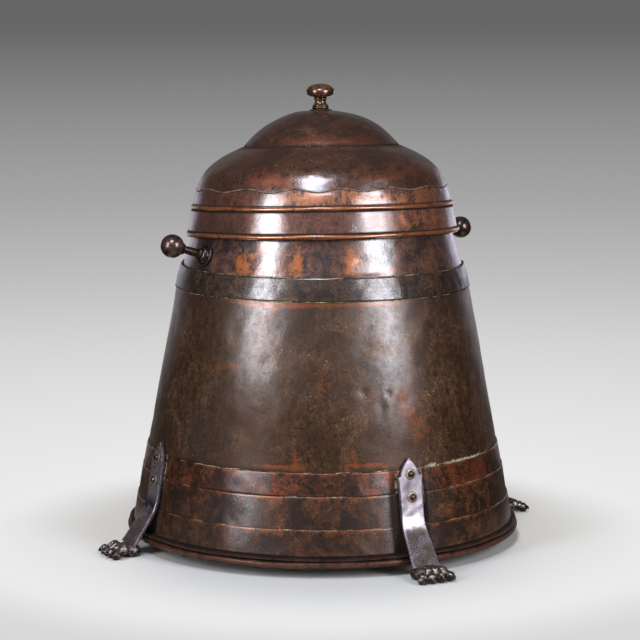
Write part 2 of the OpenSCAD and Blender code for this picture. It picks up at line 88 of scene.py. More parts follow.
# Driving sizes, as in the part's source
BELLY = 1.5
NECK_DIP = 1.5
WALL = 1.6
SOLDER = 0.1
ROLL_D = 6
ROLL_WALL = 1.1
MOUTH_R = 154
SEAT_H = 47.6
BAND_T = 1.2
BASE_T = 1.6
FLANGE_DROOP = 2.2
RIM_D = 9
RIM_GAP = 0.8
LEG_TURN = -6.5
STRAP_W = 33.6
STRAP_WAIST_W = 29
STRAP_FOOT_W = 33
STRAP_T = 4.6
BEND_Z = 70
BEND_R = 60
SPLAY = math.radians(36)
STRAP_END_Z = 12
RIVET_DROP = 19
RIVET_PITCH = 27
RIVET_HEAD_D = 8
ROVE_D = 13.6
ROVE_T = 1
STRIP_GAP_NEAR = 2
STRIP_GAP_FAR = 10
ROSE_GAP = 2.8
HANDLE_REACH = 48.5
BALL_D = 28.5
STALK_D = 9.6
ROSE_D = 27
ROSE_H = 6
SHANK_D = 8
NECK_SHOW = 28.7
SKIRT_DROP = 2
SKIRT_TOP = 33.4
SEAM_H = 55
LEDGE_H = 106.5
CAP_R = 97.4
CAP_H = 46
BEAD_D = 5.2
BEAD_PROUD = 1.9
LID_T = 1.4
LID_CLEAR = 0.6
LEAN = math.radians(3)
LEAN_AZ = math.radians(75)
SEAM_WAVES = 15
SEAM_AMP = 2.2
KNOB_H = 31.6
KNOB_D = 36.6
KNOB_WAIST_D = 15.7
KNOB_RING_D = 22
SEAT_GAP = 0.3

# Heights and radii worked out from them
DOME_R = math.hypot(MOUTH_R, SEAT_H) + ROLL_D / 2 + SEAT_GAP + LID_T
LIP_LOW_Z = UPPER_HOOP[1] + NECK_SHOW
LID_Z = LIP_LOW_Z + SKIRT_DROP + DOME_R * math.sin(LEAN)
MOUTH_Z = LID_Z + SEAT_H
NECK_TOP_R = MOUTH_R - ROLL_D / 2 + WALL + 2 * SOLDER
CAP_Z = LEDGE_H + SOLDER
KNOB_Z = CAP_Z + CAP_H
RIM_MID_R = RIM_R - RIM_D / 2
RIM_MID_Z = FOOT_Z - SOLDER - BASE_T - FLANGE_DROOP - RIM_GAP - RIM_D / 2
BASE_TOP_Z = FOOT_Z - BASE_T - 2 * SOLDER
LOWER_HOOP_Z = sum(LOWER_HOOP) / 2
RIVET_ZS = (STRAP_TIP_Z - RIVET_DROP, STRAP_TIP_Z - RIVET_DROP - RIVET_PITCH)


def outline_r(z):
    """Outer radius of body and neck at a height: two straight cones, the lower one with a parabola that bulges it
    and the upper one with a parabola that draws it in"""
    v = (z - FOOT_Z) / (SHOULDER_Z - FOOT_Z)
    u = (z - SHOULDER_Z) / (MOUTH_Z - SHOULDER_Z)
    body = FOOT_R + (SHOULDER_R - FOOT_R) * v + BELLY * 4 * v * (1 - v)
    neck = SHOULDER_R + (NECK_TOP_R - SHOULDER_R) * u - NECK_DIP * 4 * u * (1 - u)
    return np.where(z < SHOULDER_Z, body, neck)


def dome_at(h):
    """Radius of the lid's round zone at a height over its middle: a sphere's section"""
    return np.sqrt(DOME_R ** 2 - h * h)


SKIRT_IN_R = (outline_r(LIP_LOW_Z) + LID_CLEAR) / math.cos(LEAN) + SKIRT_DROP * math.tan(LEAN)


def skirt_r(h):
    """Outer radius of the lid's skirt: a straight cone from its lip up to the round zone"""
    v = (h + SKIRT_DROP) / (SKIRT_TOP + SKIRT_DROP)
    return SKIRT_IN_R + LID_T + (dome_at(SKIRT_TOP) - SKIRT_IN_R - LID_T) * v


def turn_z(angle):
    """Matrix that turns about Z"""
    c, s = math.cos(angle), math.sin(angle)
    return np.array([[c, -s, 0], [s, c, 0], [0, 0, 1]])


def turn_y(angle):
    """Matrix that turns about Y"""
    c, s = math.cos(angle), math.sin(angle)
    return np.array([[c, 0, s], [0, 1, 0], [-s, 0, c]])


# A place is a matrix and a shift, from a piece's own frame into the bin's
BIN = (np.eye(3), np.zeros(3))
LID = (turn_z(LEAN_AZ) @ turn_y(LEAN) @ turn_z(-LEAN_AZ), np.array([0, 0, LID_Z]))


def leg_place(i):
    """Place of a leg, whose own X points straight out"""
    return turn_z(math.radians(LEG_TURN + 90 * (i - 1))), np.zeros(3)


def inside(place, inner):
    """One place within another"""
    return place[0] @ inner[0], place[0] @ inner[1] + place[1]


def smooth(x, start, end):
    """Smooth step from 0 to 1 between two values"""
    t = np.clip((x - start) / (end - start), 0, 1)
    return t * t * (3 - 2 * t)


def swell(points, size, seed, count=28):
    """Smooth random height of about 1 over points: the sum of sine waves in random directions, about size long"""
    rng = np.random.default_rng(seed)
    ways = rng.normal(size=(count, 3))
    ways /= np.linalg.norm(ways, axis=1, keepdims=True)
    ways *= TAU / (size * rng.uniform(0.7, 1.7, (count, 1)))
    phases = rng.uniform(0, TAU, count)
    total = np.zeros(points.shape[:-1])
    for way, phase in zip(ways, phases):
        total += np.sin(points @ way + phase)
    return total * math.sqrt(2 / count)


def curve(a, b, c, d, steps=12):
    """Points along a cubic curve from a to d, pulled by b and c"""
    t = np.linspace(0, 1, steps + 1)[:, None]
    s = 1 - t
    a, b, c, d = (np.array(p, float) for p in (a, b, c, d))
    return s ** 3 * a + 3 * s * s * t * b + 3 * s * t * t * c + t ** 3 * d


def arc(middle, radius, start, end, steps=8):
    """Points along an arc about a middle, by its angles in degrees"""
    a = np.radians(np.linspace(start, end, steps + 1))
    return np.stack([middle[0] + radius * np.cos(a), middle[1] + radius * np.sin(a)], axis=1)


def side_of(line):
    """Unit normals to the left of an open line, each from the chord between its neighbours"""
    ends = np.concatenate([line[:1], line, line[-1:]])
    chord = ends[2:] - ends[:-2]
    return np.stack([-chord[:, 1], chord[:, 0]], axis=1) / np.linalg.norm(chord, axis=1)[:, None]


def sheet(line, thick):
    """Closed outline of a sheet to the left of a line, with its thickness along the line's normals"""
    return np.concatenate([line, (line + side_of(line) * np.reshape(thick, (-1, 1)))[::-1]])


def band_outline(z_low, z_high, inner, outer, rows, edge=0.45):
    """Closed outline of a strip on the wall: up its outer face, round its top edge, down its inner face"""
    z = np.linspace(z_low + edge, z_high - edge, rows)
    face = np.stack([outline_r(z) + outer, z], axis=1)
    top = arc((outline_r(z_high) + outer - edge, z_high - edge), edge, 20, 90, 4)
    back = np.array([[outline_r(z_high) + inner, z_high], [outline_r(z_low) + inner, z_low]])
    foot = arc((outline_r(z_low) + outer - edge, z_low + edge), edge, -90, -20, 4)
    return np.concatenate([face, top, back, foot])


def full_turn(steps, extra=()):
    """Angles of a whole turn, the last step left open, with some more where a step in the metal needs them"""
    return np.unique(np.concatenate([np.linspace(0, TAU, steps, endpoint=False), np.mod(extra, TAU)]))


def lathe(outline, angles):
    """Grid of radius, angle and height: an outline of (radius, height) carried round the axis"""
    a = np.repeat(angles[:, None], len(outline), axis=1)
    r = np.repeat(outline[None, :, 0], len(angles), axis=0)
    z = np.repeat(outline[None, :, 1], len(angles), axis=0)
    return r, a, z


def points_of(r, a, z):
    """Points from radius, angle and height"""
    return np.stack(np.broadcast_arrays(r * np.cos(a), r * np.sin(a), z), axis=-1)


def mesh_of(parts, marks=None):
    """Vertices, quads and end faces of several grids as one set. A part is (grid, loop_u, loop_v): faces join
    neighbours on the grid, and its last row or column joins the first where that way round is a loop. A grid that is
    open in u but looped in v gets a flat face at each end."""
    coords, quads, ends, start = [], [], [], 0
    for grid, loop_u, loop_v in parts:
        nu, nv = grid.shape[:2]
        index = start + np.arange(nu * nv).reshape(nu, nv)
        u = np.arange(nu if loop_u else nu - 1)
        v = np.arange(nv if loop_v else nv - 1)
        u, v = (g.ravel() for g in np.meshgrid(u, v, indexing="ij"))
        u1, v1 = (u + 1) % nu, (v + 1) % nv
        quads.append(np.stack([index[u, v], index[u1, v], index[u1, v1], index[u, v1]], axis=1))
        if loop_v and not loop_u:
            ends += [index[0].tolist(), index[-1][::-1].tolist()]
        coords.append(grid.reshape(-1, 3))
        start += nu * nv
    return np.concatenate(coords), np.concatenate(quads), ends


def piece(name, parts, place=BIN, marks=None, body="bin", stands_for=(), slot=None, look=None,
          weld=False, crease=35):
    """A finished piece in metres from grids in millimetres. marks are numbers for each vertex that the material reads.
    Where points fall together, at a pole, they are merged."""
    coords, quads, ends = mesh_of(parts)
    coords = (coords @ place[0].T + place[1]) * MM
    mesh = bpy.data.meshes.new(name)
    mesh.from_pydata(coords.tolist(), [], quads.tolist() + ends)
    for mark, values in (marks or {}).items():
        layer = mesh.attributes.new(mark, "FLOAT", "POINT")
        layer.data.foreach_set("value", np.ascontiguousarray(values, dtype=np.float32).ravel())
    if weld:
        merge(mesh)
    return finish(name, mesh, body, stands_for, slot, look, crease)


def merge(mesh):
    """Merges points that fall together and turns all faces outwards"""
    import bmesh
    work = bmesh.new()
    work.from_mesh(mesh)
    bmesh.ops.remove_doubles(work, verts=work.verts, dist=1e-6)
    bmesh.ops.dissolve_degenerate(work, edges=work.edges, dist=1e-7)
    bmesh.ops.recalc_face_normals(work, faces=work.faces)
    work.to_mesh(mesh)
    work.free()


def finish(name, mesh, body, stands_for, slot, look, crease):
    """Makes the object, shades it smooth up to a crease and joins it to the frame"""
    mesh.polygons.foreach_set("use_smooth", np.ones(len(mesh.polygons), bool))
    mesh.set_sharp_from_angle(angle=math.radians(crease))
    thing = bpy.data.objects.new(name, mesh)
    bpy.context.scene.collection.objects.link(thing)
    mesh.materials.append(look or LOOKS[slot])
    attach(thing, body)
    if stands_for:
        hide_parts(*([stands_for] if isinstance(stands_for, str) else stands_for))
    return thing


# Materials

def linear(code):
    """Linear colour of an sRGB hex value"""
    parts = [int(code[i:i + 2], 16) / 255 for i in (1, 3, 5)]
    return tuple(c / 12.92 if c <= 0.04045 else ((c + 0.055) / 1.055) ** 2.4 for c in parts) + (1,)


def per(size):
    """Scale of a pattern whose features are size millimetres across"""
    return 1 / (size * MM)


def add(tree, kind, links=None, **settings):
    """Adds a node with its settings. Each entry of links is an input with a value or another node's output.
    Gives the node's outputs."""
    node = tree.nodes.new("ShaderNode" + kind)
    for key, value in settings.items():
        setattr(node, key, value)
    for key, value in (links or {}).items():
        if isinstance(value, bpy.types.NodeSocket):
            tree.links.new(value, node.inputs[key])
        else:
            node.inputs[key].default_value = value
    return node.outputs


def new_material(name):
    """An empty material with nodes, as (material, tree)"""
    material = bpy.data.materials.new(name)
    material.use_nodes = True
    material.node_tree.nodes.clear()
    return material, material.node_tree


def patinated_copper(name, skin, warm, bare, soot_and_shade="#120d0a", powder="#b7ab8e", patch=70, patch_share=0.5,
                     bare_share=0.0, rough=0.45, planish=16, planish_depth=0.3, coat=0.7, coat_rough=0.22,
                     streak=1.0, specks=0.5, leather=0.38, freckles=0.5, blotch=0.56, vary=1.0):
    """Sheet copper, hammered and long since browned by its oxide: the oxide skin is a clear coat of its own, whose
    index is near 2.4 and whose sheen is neutral, over rough brown metal. skin and warm are the two browns of the
    oxide, bare is rubbed copper. The mesh brings marks for rubbed copper, for soiling and painted shade, for powder
    and for film: the painted shade is dark lines in creases, gaps and under edges and shadow beside the straps, laid
    on towards the near-black colour, and film dulls the coat."""
    material, t = new_material(name)
    place = add(t, "TexCoord")["Object"]
    tall = add(t, "Mapping", {"Vector": place, "Scale": (1, 1, 0.16)})["Vector"]
    wear_and_highlight = add(t, "Attribute", attribute_name="wear_and_highlight")["Fac"]
    grime_and_shade = add(t, "Attribute", attribute_name="grime_and_shade")["Fac"]
    dust = add(t, "Attribute", attribute_name="powder")["Fac"]
    film = add(t, "Attribute", attribute_name="film")["Fac"]
    across = add(t, "Mapping", {"Vector": place, "Rotation": (0.9, 0.8, 0.3), "Scale": (1, 1, 3.6)},
                 vector_type="TEXTURE")["Vector"]
    wipes = add(t, "TexNoise", {"Vector": across, "Scale": per(3.2), "Detail": 5.0, "Roughness": 0.7,
                                "Distortion": 1.6})["Fac"]
    large = add(t, "TexNoise", {"Vector": place, "Scale": per(patch), "Detail": 6.0, "Roughness": 0.68,
                                "Distortion": 0.8})["Fac"]
    runs = add(t, "TexNoise", {"Vector": tall, "Scale": per(9), "Detail": 5.0, "Roughness": 0.66})["Fac"]
    mottle = add(t, "TexNoise", {"Vector": place, "Scale": per(8), "Detail": 6.0, "Roughness": 0.75})["Fac"]
    grain = add(t, "TexNoise", {"Vector": place, "Scale": per(2.2), "Detail": 4.0, "Roughness": 0.7})["Fac"]

    # Browns: broad clouds broken up by vertical runs and by mottling
    clouds = add(t, "Math", {0: runs, 1: 0.5 * streak, 2: large}, operation="MULTIPLY_ADD")[0]
    clouds = add(t, "Math", {0: mottle, 1: 0.5, 2: clouds}, operation="MULTIPLY_ADD")[0]
    clouds = add(t, "Math", {0: grain, 1: 0.25, 2: clouds}, operation="MULTIPLY_ADD")[0]
    middle = 0.5 + 0.25 * streak + 0.25 + 0.125 + 0.15 - 0.3 * patch_share
    share = add(t, "MapRange", {"Value": clouds, "From Min": middle - 0.12, "From Max": middle + 0.26},
                interpolation_type="SMOOTHSTEP")[0]
    colour = add(t, "Mix", {0: share, 6: linear(skin), 7: linear(warm)}, data_type="RGBA")[2]

    uneven = add(t, "Math", {0: grain, 1: 1.3, 2: mottle}, operation="MULTIPLY_ADD")[0]
    uneven = add(t, "MapRange", {"Value": uneven, "From Min": 0.9, "From Max": 1.4, "To Min": 1 - blotch,
                                 "To Max": 1 + blotch})[0]
    colour = add(t, "Mix", {0: 1.0, 6: colour, 7: uneven}, data_type="RGBA", blend_type="MULTIPLY")[2]

    # Rubbed copper, where the mesh says and in a few places by chance
    worn = add(t, "Math", {0: mottle, 1: 1.0, 2: wear_and_highlight}, operation="MULTIPLY_ADD")[0]
    worn = add(t, "Math", {0: runs, 1: 0.5, 2: worn}, operation="MULTIPLY_ADD")[0]
    worn = add(t, "Math", {0: large, 1: 0.6, 2: worn}, operation="MULTIPLY_ADD")[0]
    worn = add(t, "Math", {0: grain, 1: 0.7, 2: worn}, operation="MULTIPLY_ADD")[0]
    worn = add(t, "MapRange", {"Value": worn, "From Min": 1.58 - bare_share, "From Max": 2.0 - bare_share},
               interpolation_type="SMOOTHSTEP")[0]
    colour = add(t, "Mix", {0: worn, 6: colour, 7: linear(bare)}, data_type="RGBA")[2]

    # Small dark freckles, then soiling and painted shade from the mesh's marks in the near-black colour, then pale
    # specks, scratches, and powder of verdigris and old polish
    freckle = add(t, "MapRange", {"Value": mottle, "From Min": 0.52, "From Max": 0.72, "To Max": freckles})[0]
    colour = add(t, "Mix", {0: freckle, 6: colour, 7: linear(soot_and_shade)}, data_type="RGBA")[2]
    darkening = add(t, "Math", {0: grain, 1: 0.5, 2: grime_and_shade}, operation="MULTIPLY_ADD")[0]
    darkening = add(t, "MapRange", {"Value": darkening, "From Min": 0.3, "From Max": 1.0, "To Max": 0.95})[0]
    colour = add(t, "Mix", {0: darkening, 6: colour, 7: linear(soot_and_shade)}, data_type="RGBA")[2]
    marks = add(t, "Math", {0: large, 1: 0.5, 2: grain}, operation="MULTIPLY_ADD")[0]
    marks = add(t, "MapRange", {"Value": marks, "From Min": 0.91, "From Max": 1.0, "To Max": specks})[0]
    dusty = add(t, "Math", {0: mottle, 1: 0.7, 2: dust}, operation="MULTIPLY_ADD")[0]
    dusty = add(t, "Math", {0: grain, 1: 1.3, 2: dusty}, operation="MULTIPLY_ADD")[0]
    dusty = add(t, "MapRange", {"Value": dusty, "From Min": 1.35, "From Max": 1.75},
                interpolation_type="SMOOTHSTEP")[0]
    pale = add(t, "Math", {0: dusty, 1: marks}, operation="MAXIMUM")[0]
    colour = add(t, "Mix", {0: pale, 6: colour, 7: linear(powder)}, data_type="RGBA")[2]

    dull = add(t, "Math", {0: darkening, 1: dusty}, operation="MAXIMUM")[0]
    metal = add(t, "MapRange", {"Value": worn, "From Min": 0.0, "From Max": 1.0, "To Min": 0.5, "To Max": 0.85})[0]
    metal = add(t, "Math", {0: metal, 1: dull}, operation="SUBTRACT", use_clamp=True)[0]
    gloss = add(t, "MapRange", {"Value": mottle, "From Min": 0.3, "From Max": 0.7, "To Min": rough - 0.1,
                                "To Max": rough + 0.12})[0]
    gloss = add(t, "Math", {0: dull, 1: 0.4, 2: gloss}, operation="MULTIPLY_ADD")[0]
    clear = add(t, "Math", {0: runs, 1: 0.5, 2: mottle}, operation="MULTIPLY_ADD")[0]
    clear = add(t, "Math", {0: grain, 1: 0.9, 2: clear}, operation="MULTIPLY_ADD")[0]
    clear = add(t, "Math", {0: wipes, 1: 0.9, 2: clear}, operation="MULTIPLY_ADD")[0]
    clear = add(t, "MapRange", {"Value": clear, "From Min": 1.4, "From Max": 1.9, "To Min": (1 + 0.4 * vary) * coat,
                                "To Max": (1 - 0.6 * vary) * coat})[0]
    clear = add(t, "Math", {0: clear, 1: dull}, operation="SUBTRACT", use_clamp=True)[0]
    shown = add(t, "Math", {0: 1.0, 1: film}, operation="SUBTRACT", use_clamp=True)[0]
    clear = add(t, "Math", {0: clear, 1: shown}, operation="MULTIPLY")[0]
    blows = add(t, "TexVoronoi", {"Vector": place, "Scale": per(planish), "Smoothness": 0.7},
                feature="SMOOTH_F1")["Distance"]
    relief = add(t, "Math", {0: mottle, 1: 0.5, 2: blows}, operation="MULTIPLY_ADD")[0]
    relief = add(t, "Math", {0: grain, 1: leather, 2: relief}, operation="MULTIPLY_ADD")[0]
    relief = add(t, "Math", {0: runs, 1: 0.25, 2: relief}, operation="MULTIPLY_ADD")[0]
    bump = add(t, "Bump", {"Height": relief, "Strength": 1.0, "Distance": planish_depth * MM})[0]
    shade = add(t, "BsdfPrincipled", {"Base Color": colour, "Metallic": metal, "Roughness": gloss,
                                      "Specular IOR Level": 0.25, "Normal": bump, "Coat Weight": clear, "Coat Roughness": coat_rough,
                                      "Coat IOR": 2.2, "Coat Normal": bump})[0]
    add(t, "OutputMaterial", {"Surface": shade})
    return material


def worn_metal(name, skin, light, soot_and_shade="#0d0b0a", rough=0.35, patch=9, share=0.5, pit=2.2, depth=0.25, metallic=1.0,
               coat=0.0, pitted=0.6):
    """Iron, bronze or brass that has been handled: two shades in small clouds, darker where the mesh marks soiling and
    painted shade, with fine pits
    """
    material, t = new_material(name)
    place = add(t, "TexCoord")["Object"]
    grime_and_shade = add(t, "Attribute", attribute_name="grime_and_shade")["Fac"]
    wear_and_highlight = add(t, "Attribute", attribute_name="wear_and_highlight")["Fac"]
    cloud = add(t, "TexNoise", {"Vector": place, "Scale": per(patch), "Detail": 5.0, "Roughness": 0.65})["Fac"]
    grain = add(t, "TexNoise", {"Vector": place, "Scale": per(pit), "Detail": 4.0, "Roughness": 0.6})["Fac"]
    mixed = add(t, "Math", {0: wear_and_highlight, 1: 0.5, 2: cloud}, operation="MULTIPLY_ADD")[0]
    mixed = add(t, "MapRange", {"Value": mixed, "From Min": 0.75 - 0.5 * share, "From Max": 0.95 - 0.5 * share},
                interpolation_type="SMOOTHSTEP")[0]
    colour = add(t, "Mix", {0: mixed, 6: linear(skin), 7: linear(light)}, data_type="RGBA")[2]
    spots = add(t, "MapRange", {"Value": grain, "From Min": 0.5, "From Max": 0.75, "To Max": pitted})[0]
    darkening = add(t, "MapRange", {"Value": grain, "From Min": 0.3, "From Max": 0.7, "To Min": 0.4, "To Max": 1.5})[0]
    darkening = add(t, "Math", {0: darkening, 1: grime_and_shade}, operation="MULTIPLY", use_clamp=True)[0]
    darkening = add(t, "Math", {0: spots, 1: darkening}, operation="MAXIMUM")[0]
    colour = add(t, "Mix", {0: darkening, 6: colour, 7: linear(soot_and_shade)}, data_type="RGBA")[2]
    gloss = add(t, "Math", {0: darkening, 1: 0.25, 2: rough}, operation="MULTIPLY_ADD")[0]
    metal = add(t, "MapRange", {"Value": grime_and_shade, "From Min": 0.0, "From Max": 1.0, "To Min": metallic,
                                "To Max": 0.3})[0]
    relief = add(t, "Math", {0: grain, 1: 0.5, 2: cloud}, operation="MULTIPLY_ADD")[0]
    bump = add(t, "Bump", {"Height": relief, "Strength": 1.0, "Distance": depth * MM})[0]
    shade = add(t, "BsdfPrincipled", {"Base Color": colour, "Metallic": metal, "Roughness": gloss, "Normal": bump,
                                      "Coat Weight": coat, "Coat Roughness": 0.2})[0]
    add(t, "OutputMaterial", {"Surface": shade})
    return material


def soft_solder(name, skin, bright, dark, clean=0.0):
    """Soft solder run along the edges of the hoops: pale grey-yellow, matt, broken by dirt"""
    material, t = new_material(name)
    place = add(t, "TexCoord")["Object"]
    cloud = add(t, "TexNoise", {"Vector": place, "Scale": per(14), "Detail": 4.0, "Roughness": 0.7})["Fac"]
    grain = add(t, "TexNoise", {"Vector": place, "Scale": per(2.5), "Detail": 3.0})["Fac"]
    share = add(t, "MapRange", {"Value": grain, "From Min": 0.4, "From Max": 0.6})[0]
    colour = add(t, "Mix", {0: share, 6: linear(skin), 7: linear(bright)}, data_type="RGBA")[2]
    darkening = add(t, "MapRange", {"Value": cloud, "From Min": 0.46 + clean, "From Max": 0.6 + clean},
               interpolation_type="SMOOTHSTEP")[0]
    colour = add(t, "Mix", {0: darkening, 6: colour, 7: linear(dark)}, data_type="RGBA")[2]
    bump = add(t, "Bump", {"Height": grain, "Strength": 0.6, "Distance": 0.3 * MM})[0]
    shade = add(t, "BsdfPrincipled", {"Base Color": colour, "Metallic": 0.55, "Roughness": 0.45, "Normal": bump})[0]
    add(t, "OutputMaterial", {"Surface": shade})
    return material


LOOKS = {
    "copper_body": patinated_copper("Planished copper, brown patina", "#422c1b", "#63452f", "#874a27",
                                    patch=70, patch_share=0.45, rough=0.5, planish=22, planish_depth=0.19,
                                    coat=0.64, coat_rough=0.28, specks=0.7, leather=0.9),
    "copper_neck": patinated_copper("Rubbed copper, clouded brown", "#38302f", "#774e3c", "#ba6c3c",
                                    patch=28, patch_share=0.6, bare_share=0.05, rough=0.42, coat=0.78,
                                    coat_rough=0.15, streak=0.6, specks=0.2, freckles=0.25, blotch=0.28, vary=0.5),
    "copper_upper_hoop": patinated_copper("Copper hoop, near-black patina", "#33261f", "#5c4230", "#7c4a32",
                                          patch=26, patch_share=0.5, bare_share=-0.08, rough=0.46, coat=0.66,
                                          coat_rough=0.21, streak=0.3, specks=0.4, vary=0.6),
    "copper_lower_hoop": patinated_copper("Copper hoop, red-brown patina", "#2a1911", "#683820", "#93492a",
                                          patch=22, patch_share=0.6, bare_share=0.05, rough=0.46, coat=0.38,
                                          coat_rough=0.24, streak=0.4, specks=0.3, freckles=0.2, blotch=0.34,
                                          vary=0.5),
    "copper_foot": patinated_copper("Copper foot strips, brown patina", "#2e1c12", "#603a20", "#94552e",
                                    patch=34, patch_share=0.5, rough=0.48, coat=0.4, coat_rough=0.25, streak=0.4,
                                    specks=0.3, freckles=0.2, blotch=0.32, vary=0.5),
    "copper_base": patinated_copper("Copper base, rubbed edges", "#21160f", "#38251b", "#6b4432",
                                    patch=24, patch_share=0.5, rough=0.58, coat=0.07, coat_rough=0.3, streak=0.2,
                                    specks=0.2),
    "copper_skirt": patinated_copper("Rubbed copper, warm brown", "#4e3329", "#784b3a", "#be7d5a",
                                     patch=50, patch_share=0.6, bare_share=0.02, rough=0.4, coat=0.8,
                                     coat_rough=0.15, streak=0.4, specks=0.3, freckles=0.14, blotch=0.2, vary=0.4),
    "copper_bead": patinated_copper("Copper bead, rubbed bright", "#5f3520", "#955334", "#d08350",
                                    patch=40, patch_share=0.7, bare_share=0.12, rough=0.34, coat=0.6,
                                    coat_rough=0.16, streak=0.2, specks=0.2),
    "copper_dome": patinated_copper("Copper lid, brown patina with specks", "#452f25", "#684231", "#8e523b",
                                    patch=55, patch_share=0.5, rough=0.42, coat=0.75, coat_rough=0.19,
                                    streak=0.2, specks=0.8, freckles=0.18, blotch=0.24, vary=0.4),
    "brass_braze": soft_solder("Brass braze, dulled", "#7d6a50", "#b8a47e", "#2e231b", clean=0.07),
    "bronze_knob": worn_metal("Polished bronze, brown", "#5f4735", "#a87d5b", rough=0.26, patch=10, depth=0.08,
                              coat=0.6, metallic=0.8),
    "bronze_handle": worn_metal("Dark bronze", "#3a2b25", "#6d544a", rough=0.28, patch=8, depth=0.1, coat=0.4,
                                metallic=0.8),
    "bronze_rivets": worn_metal("Rivet bronze, dark", "#5a4840", "#97857a", rough=0.28, patch=3, depth=0.06),
    "brass_roves": worn_metal("Dull brass", "#8a7766", "#bea893", soot_and_shade="#4a3c32", rough=0.42, patch=3, depth=0.12,
                              metallic=0.7),
    # On the straps the lighter shade is laid on above the bend as a painted highlight, and the darker one with the
    # near-black below the bend as painted shade
    "iron_strap": worn_metal("Burnished wrought iron", "#7c706a", "#a39aa1", soot_and_shade="#33271f", rough=0.27, patch=18,
                             depth=0.01, share=0.7, pitted=0.04),
    "iron_paw": worn_metal("Cast iron, brown, rubbed on top", "#38302c", "#a2958c", rough=0.34, patch=4, pit=1.4,
                           depth=0.3, share=0.5),
    "iron_wire": worn_metal("Iron wire", "#2d2a28", "#55504c", rough=0.5, patch=6, depth=0.1),
}
SOLDER_LOOK = soft_solder("Soft solder, grey-yellow", "#88744f", "#c6b388", "#33271f")


# Marks on the copper: rubbed copper, soiling and painted shade

def spots(a, r, z, table):
    """Sum of soft round spots. A spot is (azimuth in degrees, height, width, height across, strength)."""
    total = np.zeros(np.shape(a))
    for azimuth, height, wide, tall, strength in table:
        across = (np.mod(a - math.radians(azimuth) + math.pi, TAU) - math.pi) * r
        total += strength * np.exp(-(across / wide) ** 2 - ((z - height) / tall) ** 2)
    return total


# Body and neck

BODY_DENTS = [(250.3, 213, 4.5, 5, -0.8), (245.5, 211, 5, 4, 0.35), (258.7, 211, 4, 4.5, -0.9),
              (256, 198, 5, 13, -0.6), (259, 190, 7, 16, 0.4), (252, 172, 30, 40, -0.6), (226, 260, 40, 60, -0.7),
              (262, 250, 50, 60, 0.6), (232, 180, 60, 50, 0.5), (300, 200, 40, 60, -0.8), (330, 250, 50, 50, 0.7),
              (20, 220, 60, 50, -0.9), (80, 180, 50, 60, 0.8), (120, 260, 40, 50, -0.7), (170, 200, 50, 60, -0.8)]
BODY_RUBS = [(264, 214, 26, 20, 0.32), (268, 163, 32, 24, 0.34), (266, 188, 24, 18, 0.24), (205, 241, 20, 10, 0.4),
             (198, 236, 10, 8, 0.25), (236.4, 225, 13, 16, 0.36), (214, 300, 24, 26, 0.28), (206, 316, 40, 3.5, 0.5),
             (220, 315, 40, 4.5, 0.65), (240, 316, 60, 3.5, 0.5), (262, 316, 50, 3, 0.45), (218, 308, 3, 8, 0.4), (222, 128, 44, 3.5, 0.55),
             (250, 130, 40, 4, 0.5), (228, 138, 4, 16, 0.5), (246, 140, 5, 12, 0.4), (190, 240, 30, 80, 0.14),
             (300, 240, 50, 90, 0.2)]


def body_sheet():
    """The body's wall, its outline carried round the axis, moved in and out by a smooth random swell and by dents that
    fade out under the hoops"""
    z = np.linspace(FOOT_Z, SHOULDER_Z, 150)
    inner = np.linspace(SHOULDER_Z, FOOT_Z, 16)
    outline = np.concatenate([np.stack([outline_r(z), z], axis=1),
                              np.stack([outline_r(inner) - WALL, inner], axis=1)])
    r, a, z = lathe(outline, full_turn(480))
    p = points_of(r, a, z)
    shown = smooth(z, LOWER_HOOP[1] + 1, LOWER_HOOP[1] + 30) * (1 - smooth(z, UPPER_HOOP[0] - 30, UPPER_HOOP[0] - 1))
    flat = p * [1, 1, 0.45]
    dent = 0.45 * swell(flat, 120, 1) + 0.13 * swell(p, 34, 2) + 0.035 * swell(p, 15, 4)
    dent = dent + spots(a, r, z, BODY_DENTS)
    p = points_of(r + dent * shown, a, z)
    wear_and_highlight = spots(a, r, z, BODY_RUBS)
    above = np.exp(-((z - LOWER_HOOP[1]) / 4) ** 2)
    powder = spots(a, r, z, [(281, LOWER_HOOP[1], 40, 4, 0.62), (295, LOWER_HOOP[1], 40, 3.5, 0.6),
                             (272, LOWER_HOOP[1] + 1, 10, 6, 0.4), (256, LOWER_HOOP[1] + 2, 5, 8, 0.4)])
    # Darker: a line just above the lower hoop and two patches low on the left, and painted shade on the wall below the
    # lower hoop, which shows only in the gaps beside the straps
    grime_and_shade = 0.35 * above + spots(a, r, z, [(196, 165, 45, 45, 0.3), (188, 125, 30, 60, 0.3)]) + 0.6 * (1 - smooth(z, LOWER_HOOP[0] - 2, LOWER_HOOP[0]))
    film = 0.9 * (1 - smooth(z, 140, 300)) - spots(a, r, z, [(258, 205, 9, 26, 0.3), (212, 205, 40, 40, -0.26)])
    marks = {"wear_and_highlight": wear_and_highlight, "grime_and_shade": grime_and_shade, "powder": powder, "film": film}
    piece("body_sheet", [(p, True, True)], marks=marks, stands_for="body_wall", slot="copper_body")


